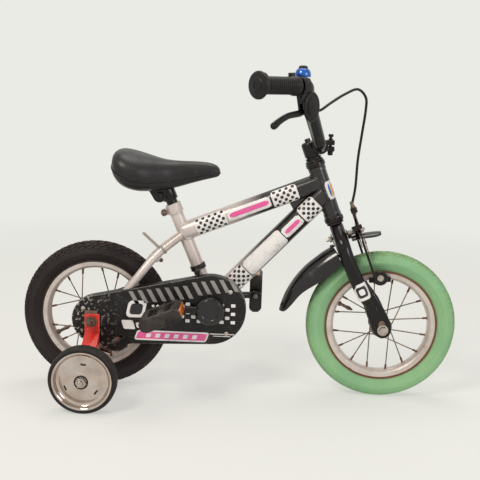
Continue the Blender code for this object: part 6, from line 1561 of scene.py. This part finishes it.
def guard_edge():
    """The guard's outer edge as points with outward directions: a band round two circles, and a bulge."""
    corners = band(GUARD_CIRCLES, 120)
    bulge, edge = Vector((-239, 118)), []
    for (here, way), (after, _) in zip(corners, corners[1:] + corners[:1]):
        gaps = max(1, int((after - here).length / 6))
        for step in range(gaps):
            point, out = here.lerp(after, step / gaps), way
            if (point - bulge).length < 32:
                out = (point - bulge).normalized()
                point = bulge + out * 32
            edge.append((point, out))
    return edge


def carved(piece, *cutters):
    """Takes the cutters out of a piece."""
    for cutter in cutters:
        pick(piece)
        hole = piece.modifiers.new("hole", "BOOLEAN")
        hole.operation = "DIFFERENCE"
        hole.object = cutter
        bpy.ops.object.modifier_apply(modifier=hole.name)
        pick(cutter)
        bpy.ops.object.delete()
    return piece


class BIKE_OT_chain_guard(bpy.types.Operator):
    """Pressed chain guard with a soft edge and a return flange, its screws, and the strap that holds it"""
    bl_idname = "bike.chain_guard"
    bl_label = "Chain guard"

    def execute(self, context):
        edge, rings = guard_edge(), []
        for inset, depth in ((3.4, 2), (2, 3.2), (2, 19.4), (1.4, 20), (0.6, 20), (0, 19.4), (0, 2.6),
                (0.5, 1), (1.6, 0.2), (3.6, 0)):
            rings.append([(point.x - out.x * inset, GUARD_FACE + depth, point.y - out.y * inset)
                          for point, out in edge])
        shell = skinned("shell", rings)
        holes = [bar("crank_hole", BB - ACROSS * 30, BB - ACROSS * 90, 9, 32),
                 bar("axle_hole", REAR_AXLE - ACROSS * 30, REAR_AXLE - ACROSS * 90, 11, 32),
                 tube("stay_gap", seatstay_route(RIGHT), 8.9, sides=20)]
        slot = [(-232 + 6.5 * cos(a) + (5 if cos(a) > 0 else -5),
                113 + 4.6 * sin(a) + (5 if cos(a) > 0 else -5))
                for a in [radians(7.5 + 15 * i) for i in range(24)]]
        holes.append(plate("slot", [(-x, z) for x, z in slot], (0, -50, 0), (-1, 0, 0), UP, -20, 0))
        shell = carved(shell, *holes)
        dress(shell, "guard_shell", "frame", "black_plastic", ["chain_guard"], 30, look="guard_plastic")
        refined("guard_strap", "frame", "black_plastic", 0.4)
        screws = []
        for x, z in ((-300, 172), (-14, 216), (-20, 132)):
            screws.append(turned("screw", (x, GUARD_FACE, z), (0, -1, 0), [(0, -0.5), (4.4, -0.5), (4.1, 0.9),
                    (2.6, 1.8), (0, 2.1)], 20))
        dress(joined("screws", *screws), "guard_screws", "frame", "zinc")
        return {"FINISHED"}


def flat_film(name, outline, lift=0.0):
    """A film on the guard's face, from an outline of (x, z) points."""
    return plate(name, [(-x, z) for x, z in outline], (0, GUARD_FACE + 0.05 - lift, 0), (-1, 0, 0), UP,
            -0.3, 0)


def rounded_box(x0, z0, x1, z1, corner, lean=0.0, steps=5):
    """A rectangle with round corners, leaning lean millimetres per millimetre of height."""
    points = []
    for x, z, start in ((x1, z1, 0), (x0, z1, 90), (x0, z0, 180), (x1, z0, 270)):
        cx = x - corner if x == x1 else x + corner
        cz = z - corner if z == z1 else z + corner
        for step in range(steps + 1):
            angle = radians(start + 90 * step / steps)
            px, pz = cx + corner * cos(angle), cz + corner * sin(angle)
            points.append((px + lean * (pz - (z0 + z1) / 2), pz))
    return points


class BIKE_OT_guard_films(bpy.types.Operator):
    """Plain printed shapes on the chain guard: slanted bars, tiles, dots, an outlined strip and fine lines"""
    bl_idname = "bike.guard_films"
    bl_label = "Guard films"

    def execute(self, context):
        white, grey, black, pink = ("print_" + ink for ink in ("white", "grey", "black", "pink"))

        def laid(name, material, *shapes, lift=0.0):
            """Films from rounded boxes (x0, z0, x1, z1, corner, lean), as one piece."""
            films = [flat_film("film", rounded_box(*shape), lift) for shape in shapes]
            dress(joined(name, *films), name, "frame", "black_plastic", look=material)

        def upper(x):
            return 203 + 0.14 * (x + 200) + (5 if x > -90 else 0)

        laid("guard_bars", grey, *[(x, upper(x) - 17, x + 8.5, upper(x) + 8, 1, -0.55)
                for x in [-205 + 17.5 * i for i in range(12)]])
        tiles = []
        for row in range(5):
            for column in range(11):
                x, z = -122 + column * 11, 152 + row * 8.4
                if (row + column) % 2 == 0 and Vector((x + 5 - BB.x, z + 3 - BB.z)).length > 24:
                    tiles.append((x, z, x + 8.4, z + 6.4, 1.2))
        laid("guard_tiles", white, *tiles)
        laid("guard_flag", white, (-214, 158, -178, 192, 9, 0.2))
        laid("guard_flag_middle", black, (-208, 164, -184, 186, 6, 0.2), lift=0.25)
        laid("guard_dots", white, *[(-166 + 9 * i, 180 - 7.5 * j, -160.5 + 9 * i, 185 - 7.5 * j, 2.2)
                for i in range(4) for j in range(3)])
        laid("guard_corner", white, (-223, 134, -200, 152, 3, -0.3), (-196, 137, -178, 148, 3, -0.3))
        laid("guard_outline", white, (-197, 113, -56, 133, 5, 0.35))
        laid("guard_strip", pink, (-194, 116, -59, 130, 3, 0.35), lift=0.25)
        laid("guard_strip_bars", white, *[(-176 + 18 * i, 119, -167 + 18 * i, 127, 1,
             0.35) for i in range(6)], lift=0.5)
        laid("guard_lines", white, (-52, 130, -4, 131.6, 0.7), (-46, 126, -12, 127.2, 0.5))
        return {"FINISHED"}


# Training wheels

def training_wheel(side, name):
    """A small solid tyre on a domed disc, its slot openings shown as dark blocks of painted shade in chrome
    rims, with its nut.
    """
    body = "training_wheel_r" if side == RIGHT else "training_wheel_l"
    centre = Vector((-279, side * 173, 64))
    out = ACROSS * side
    tread = [(56.8, -1), (58.6, -0.2), (60.4, -0.5), (62.2, -1.8), (63.6, -4), (64, -6.5)]
    for groove in (10, 14, 18):
        tread += [(64, -groove + 1.4), (63.1, -groove + 0.8), (63.1, -groove - 0.8), (64, -groove - 1.4)]
    tread += [(64, -21.5), (63.6, -24), (62.2, -26.2), (60.4, -27.5), (58.6, -27.8), (56.8, -27)]
    dress(turned("tyre", centre, out, tread, 72), "training_tyre_moulded_" + name, body, "black_rubber",
          ["training_tyre_" + name], look="small_tyre")
    disc = [(56.5, -27), (56.9, -13), (56.5, -1), (56, 0.1), (54.9, 0.6), (53.6, 0.3), (52.2, -1.2),
            (50.6, -4.4),
            (49, -7.2), (46.5, -8.4), (43, -7.6), (37, -3.8), (29, -0.4), (20, 1.6), (13.4, 2.3),
            (11.6, 2.4), (10.9, 2), (10.9, -1.4), (6, -1.4), (6, -26),
            (11, -26), (11, -5), (30, -8), (44.5, -11.2), (53, -11.2), (53, -27)]
    disc_piece = turned("disc", centre, out, disc, 72)
    dress(disc_piece, "training_disc_pressed_" + name, body, "chrome", ["training_disc_" + name], 40)
    # The disc is not cut through: each opening is a dark block on its face, painted shade for the hole, set
    # in a chrome rim
    slot_shades, rims = [], []
    for index in range(3):
        angle = radians(84 + index * 120)
        radial = ray(angle)
        tangent = ray(angle + pi / 2)
        at = centre + radial * 33 - out * 1.8
        slot_shades.append(block("slot", at, (10.5, 1.6, 3.6), (tangent, out, radial), 0.7, 2))
        rims.append(block("slot_rim", at - out * 0.25, (12.6, 1.4, 5.6), (tangent, out, radial), 0.6, 2))
    dress(joined("slot_shades", *slot_shades), "training_slot_shade_" + name, body, "chrome", look="black_rubber")
    dress(joined("slot_rims", *rims), "training_slot_rims_" + name, body, "chrome")
    ring = turned("ring", centre, out, [(10.9, 1), (13, 1.8), (13.5, 2.8), (12.8, 3.9), (11.6, 4),
            (10.9, 3.2)], 36)
    dress(ring, "training_seal_" + name, body, "black_rubber")
    parts = [nut("nut", centre + out, out, 17.6, 7.4, 10.2),
             bar("thread", centre + out * 6, centre + out * 16.5, 5.5, 16, 0.8)]
    dress(joined("hub_nut", *parts), "training_nut_" + name, "frame", "red_paint", look="zinc")


class BIKE_OT_training_wheels(bpy.types.Operator):
    """Training wheels, their red bent brackets and the nuts that hold them"""
    bl_idname = "bike.training_wheels"
    bl_label = "Training wheels"

    def execute(self, context):
        for side, name in SIDE_NAMES.items():
            training_wheel(side, name)
            refined("training_bracket_" + name, "frame", "red_paint", 0.55, 40)
        return {"FINISHED"}


# Seat

SADDLE_STATIONS = [(-251, 462, 448, 20), (-249, 470, 437, 40), (-243, 477.5, 425, 57), (-232, 480, 413, 67),
                   (-216, 478, 405, 71), (-197, 473.5, 401, 68.5), (-177, 468, 401, 59),
                   (-159, 463.5, 402.5, 45),
                   (-141, 461, 405, 32.5), (-122, 460, 410, 25.5), (-100, 460, 417, 21),
                   (-78, 459.5, 423.5, 18.5),
                   (-61, 457.5, 428, 17), (-50, 453, 431, 14.5), (-45, 447.5, 434, 10),
                   (-43.6, 443.5, 437, 5)]


def signed_power(value, power):
    return abs(value) ** power * (1 if value > 0 else -1)


def saddle_ring(x, top, low, half, points=40):
    """A section of the saddle: full above, drawn in below."""
    middle = low + 0.45 * (top - low)
    ring = []
    for step in range(points):
        angle = step * tau / points
        rise, lateral = sin(angle), cos(angle)
        lift = (top - middle) * rise ** 0.9 if rise > 0 else -(middle - low) * abs(rise) ** 0.55
        ring.append((x, half * signed_power(lateral, 0.72), middle + lift))
    return ring


class BIKE_OT_saddle(bpy.types.Operator):
    """Padded vinyl saddle with an edge welt and a base rim"""
    bl_idname = "bike.saddle"
    bl_label = "Saddle"

    def execute(self, context):
        rows = smooth_route(SADDLE_STATIONS, 3)
        rings = [saddle_ring(*row) for row in rows]
        cover = subdivided(skinned("cover", rings), 1)
        dress(cover, "saddle_cover", "seat", "black_vinyl", ["saddle"], 60)
        welt = []
        for sign in (1, -1):
            line = []
            for x, top, low, half in (rows if sign > 0 else reversed(rows)):
                middle = low + 0.45 * (top - low)
                line.append(Vector((x, sign * half * 1.0, middle - (middle - low) * 0.3)))
            welt += line
        piping = tube("piping", welt + [welt[0]], 1.5, sides=8)
        dress(piping, "saddle_piping", "seat", "black_vinyl", angle=60, look="black_plastic")
        refined("saddle_frame", "seat", "black_paint", 0.4, 40)
        refined("saddle_clamp", "post", "black_paint", 0.5)
        return {"FINISHED"}


class BIKE_OT_seat_post(bpy.types.Operator):
    """Seat post, with the collar and the bolt that hold it"""
    bl_idname = "bike.seat_post"
    bl_label = "Seat post"

    def execute(self, context):
        refined("seat_post", "post", "black_paint", 0.5)
        refined("seat_collar", "frame", "silver_paint", 0.5)
        refined("seat_collar_bolt", "frame", "zinc", 0.3, look="rusty_steel")
        return {"FINISHED"}


class BIKE_OT_small_fittings(bpy.types.Operator):
    """Rear axle, coaster brake arm and clip, bridge bolt and cable tie"""
    bl_idname = "bike.small_fittings"
    bl_label = "Small fittings"

    def execute(self, context):
        for node in ("rear_axle", "coaster_brake_arm", "coaster_arm_clip", "bridge_bolt"):
            refined(node, "frame", "zinc", 0.35, look="rusty_steel")
        route = seatstay_route(RIGHT)
        index = min(range(1, len(route) - 1), key=lambda step: abs(route[step].x + 152.8))
        spot, along = route[index], (route[index + 1] - route[index - 1]).normalized()
        hoop = turned("hoop", spot, along, [(8.2, -2.4), (9.7, -2.4), (9.7, 2.4), (8.2, 2.4)], 32)
        root, tip = spot + Vector((-7, -2.5, 3)), spot + Vector((-40.5, 1.5, 32))
        run = (tip - root).normalized()
        broad = run.cross(ACROSS).normalized()
        length = (tip - root).length
        edge = []
        for step in range(17):
            edge += [(3.0, length * step / 17), (2.4, length * (step + 0.5) / 17)]
        outline = [(-3, 0)] + edge + [(1.4, length), (-1.4, length), (-3, length - 3)]
        tail = plate("tail", outline, root, broad, run, 1.3, 0.2, 1)
        lock = block("lock", root, (4.2, 4.2, 5), (broad, ACROSS, run), 0.6)
        dress(joined("tie", hoop, tail, lock), "cable_tie_moulded", "frame", "grey_plastic", ["cable_tie"])
        for side in (RIGHT, LEFT):
            foot = Vector((-281.5, side * 67.2, 148))
            washer = bar("washer", foot, foot + ACROSS * side * 1.8, 10.5, 28, 0.4)
            piece = joined("outer_nut", washer, nut("nut", foot + ACROSS * side * 1.8, ACROSS * side, 15,
                    8.5))
            dress(piece, "rear_axle_nut_" + SIDE_NAMES[side], "frame", "zinc", look="rusty_steel")
        return {"FINISHED"}


# Stage, lamps and camera

def lamp(name, place, aim, size, power, tint):
    """An area lamp at place, turned to aim, in metres and watts."""
    bpy.ops.object.light_add(type="AREA", location=place)
    light = added(name)
    light.data.shape = "DISK"
    light.data.size = size
    light.data.energy = power
    light.data.color = tint[:3]
    light.rotation_euler = (Vector(aim) - Vector(place)).to_track_quat("-Z", "Y").to_euler()
    return light


class BIKE_OT_stage(bpy.types.Operator):
    """Pale floor and backdrop, soft lamps, and a camera at the photograph's view"""
    bl_idname = "bike.stage"
    bl_label = "Stage"

    def execute(self, context):
        pale = colour(234, 235, 229)
        bpy.ops.mesh.primitive_circle_add(vertices=96, radius=2.6, fill_type="NGON")
        floor = added("floor")
        pick(floor)
        edit_all()
        bpy.ops.mesh.extrude_region_move(TRANSFORM_OT_translate={"value": (0, 0, -0.01)})
        edit_done()
        tidy(floor)
        material = bpy.data.materials.new("pale_floor")
        material.use_nodes = True
        tree = material.node_tree
        tree.nodes.clear()
        coordinates = add_node(tree, "ShaderNodeTexCoord")
        length = add_node(tree, "ShaderNodeVectorMath", {"operation": "LENGTH"},
                i0=coordinates.outputs["Object"])
        edge = add_node(tree, "ShaderNodeMapRange", i0=length.outputs["Value"], i1=0.9, i2=2.2)
        matt = add_node(tree, "ShaderNodeBsdfDiffuse", Color=(0.36, 0.36, 0.345, 1))
        glow = add_node(tree, "ShaderNodeEmission", Color=pale, Strength=1.0)
        soft = add_node(tree, "ShaderNodeEmission", Color=pale, Strength=0.57)
        both = add_node(tree, "ShaderNodeAddShader", i0=matt, i1=soft)
        mixed = add_node(tree, "ShaderNodeMixShader", i0=edge, i1=both, i2=glow)
        add_node(tree, "ShaderNodeOutputMaterial", Surface=mixed)
        floor.data.materials.append(material)
        world = bpy.data.worlds.new("surround")
        context.scene.world = world
        world.use_nodes = True
        tree = world.node_tree
        tree.nodes.clear()
        path = add_node(tree, "ShaderNodeLightPath")
        seen = path.outputs["Is Camera Ray"]
        for ray_kind in ("Is Transmission Ray", "Is Glossy Ray"):
            seen = add_node(tree, "ShaderNodeMath", {"operation": "ADD", "use_clamp": True}, i0=seen,
                            i1=path.outputs[ray_kind])
        ambient = add_node(tree, "ShaderNodeBackground", Color=(1.0, 0.95, 0.92, 1), Strength=0.42)
        backdrop = add_node(tree, "ShaderNodeBackground", Color=pale, Strength=1.0)
        mixed = add_node(tree, "ShaderNodeMixShader", i0=seen, i1=ambient, i2=backdrop)
        add_node(tree, "ShaderNodeOutputWorld", Surface=mixed)
        lamp("key", (-1.2, -1.6, 2.3), (0, 0, 0.25), 0.8, 34, colour(255, 246, 238))
        lamp("fill", (1.7, -1.5, 1.2), (0, 0, 0.3), 0.9, 12, colour(250, 248, 255))
        lamp("top", (0.1, 0.5, 2.4), (0, 0, 0.2), 1.5, 20, colour(255, 252, 248))
        bpy.ops.object.camera_add(location=(0.0512, -1.6440, 0.6277))
        camera = added("camera")
        yaw, pitch, roll = -0.031, 0.190, 0.032
        ahead = Vector((sin(yaw) * cos(pitch), cos(yaw) * cos(pitch), -sin(pitch)))
        right = Vector((cos(yaw), -sin(yaw), 0))
        above = right.cross(ahead)
        level = right * cos(roll) + above * sin(roll)
        above = above * cos(roll) - right * sin(roll)
        turn = Matrix((level, above, -ahead)).transposed()
        camera.rotation_euler = turn.to_euler()
        camera.data.sensor_width = 36
        camera.data.lens = 63.64
        camera.data.shift_x = -0.00117
        camera.data.shift_y = -0.00396
        context.scene.camera = camera
        context.scene.view_settings.view_transform = "Standard"
        return {"FINISHED"}


# Panel and properties

class BikeSizes(bpy.types.PropertyGroup):
    front_tread_steps: IntProperty(name="Front tread steps", description="Tread blocks round the front tyre",
            default=92, min=40, max=140)
    rear_tread_steps: IntProperty(name="Rear tread steps", description="Tread blocks round the rear tyre",
            default=58, min=30, max=100)
    spoke_radius: FloatProperty(name="Spoke radius", description="Radius of the spoke wire", default=0.00115,
            min=0.0008, max=0.002, subtype="DISTANCE", unit="LENGTH")
    grip_ribs: IntProperty(name="Grip ribs", description="Ribs moulded round each grip", default=13, min=6,
            max=20)


class BikeColours(bpy.types.PropertyGroup):
    silver: FloatVectorProperty(name="Silver", description="Paint of the frame's rear half", subtype="COLOR",
            default=colour(218, 207, 201)[:3], min=0, max=1)
    black: FloatVectorProperty(name="Black", description="Paint of the fork, stem and bar", subtype="COLOR",
            default=colour(13, 10, 11)[:3], min=0, max=1)
    green: FloatVectorProperty(name="Green", description="Rubber of the front tyre", subtype="COLOR",
            default=colour(150, 196, 144)[:3], min=0, max=1)
    bell_blue: FloatVectorProperty(name="Bell blue", description="Lacquer of the bell dome", subtype="COLOR",
            default=colour(38, 92, 176)[:3], min=0, max=1)


BUILD_ORDER = (BIKE_OT_frame, BIKE_OT_headset, BIKE_OT_frame_films, BIKE_OT_tyres, BIKE_OT_wheels,
               BIKE_OT_fork, BIKE_OT_front_brake, BIKE_OT_mudguards, BIKE_OT_stem_and_bar, BIKE_OT_grips,
               BIKE_OT_brake_lever,
               BIKE_OT_brake_cable, BIKE_OT_bell, BIKE_OT_crank, BIKE_OT_crank_cap, BIKE_OT_pedals,
               BIKE_OT_chain,
               BIKE_OT_chain_guard, BIKE_OT_guard_films, BIKE_OT_training_wheels, BIKE_OT_seat_post,
               BIKE_OT_saddle, BIKE_OT_small_fittings, BIKE_OT_stage)


class BIKE_PT_panel(bpy.types.Panel):
    """Sizes, colours and build buttons"""
    bl_idname = "BIKE_PT_panel"
    bl_label = "Kids bike"
    bl_space_type = "VIEW_3D"
    bl_region_type = "UI"
    bl_category = "Bike"

    def draw(self, context):
        column = self.layout.column(align=True)
        for group in (context.scene.bike_sizes, context.scene.bike_colours):
            for name in group.__annotations__:
                column.prop(group, name)
        column.separator()
        for operator in BUILD_ORDER:
            column.operator(operator.bl_idname)


CLASSES = (BikeSizes, BikeColours, *BUILD_ORDER, BIKE_PT_panel)


def register():
    for item in CLASSES:
        bpy.utils.register_class(item)
    bpy.types.Scene.bike_sizes = PointerProperty(type=BikeSizes)
    bpy.types.Scene.bike_colours = PointerProperty(type=BikeColours)


def unregister():
    del bpy.types.Scene.bike_colours
    del bpy.types.Scene.bike_sizes
    for item in reversed(CLASSES):
        bpy.utils.unregister_class(item)


def main():
    register()
    for operator in BUILD_ORDER:
        family, action = operator.bl_idname.split(".")
        getattr(getattr(bpy.ops, family), action)()


if __name__ == "__main__":
    main()
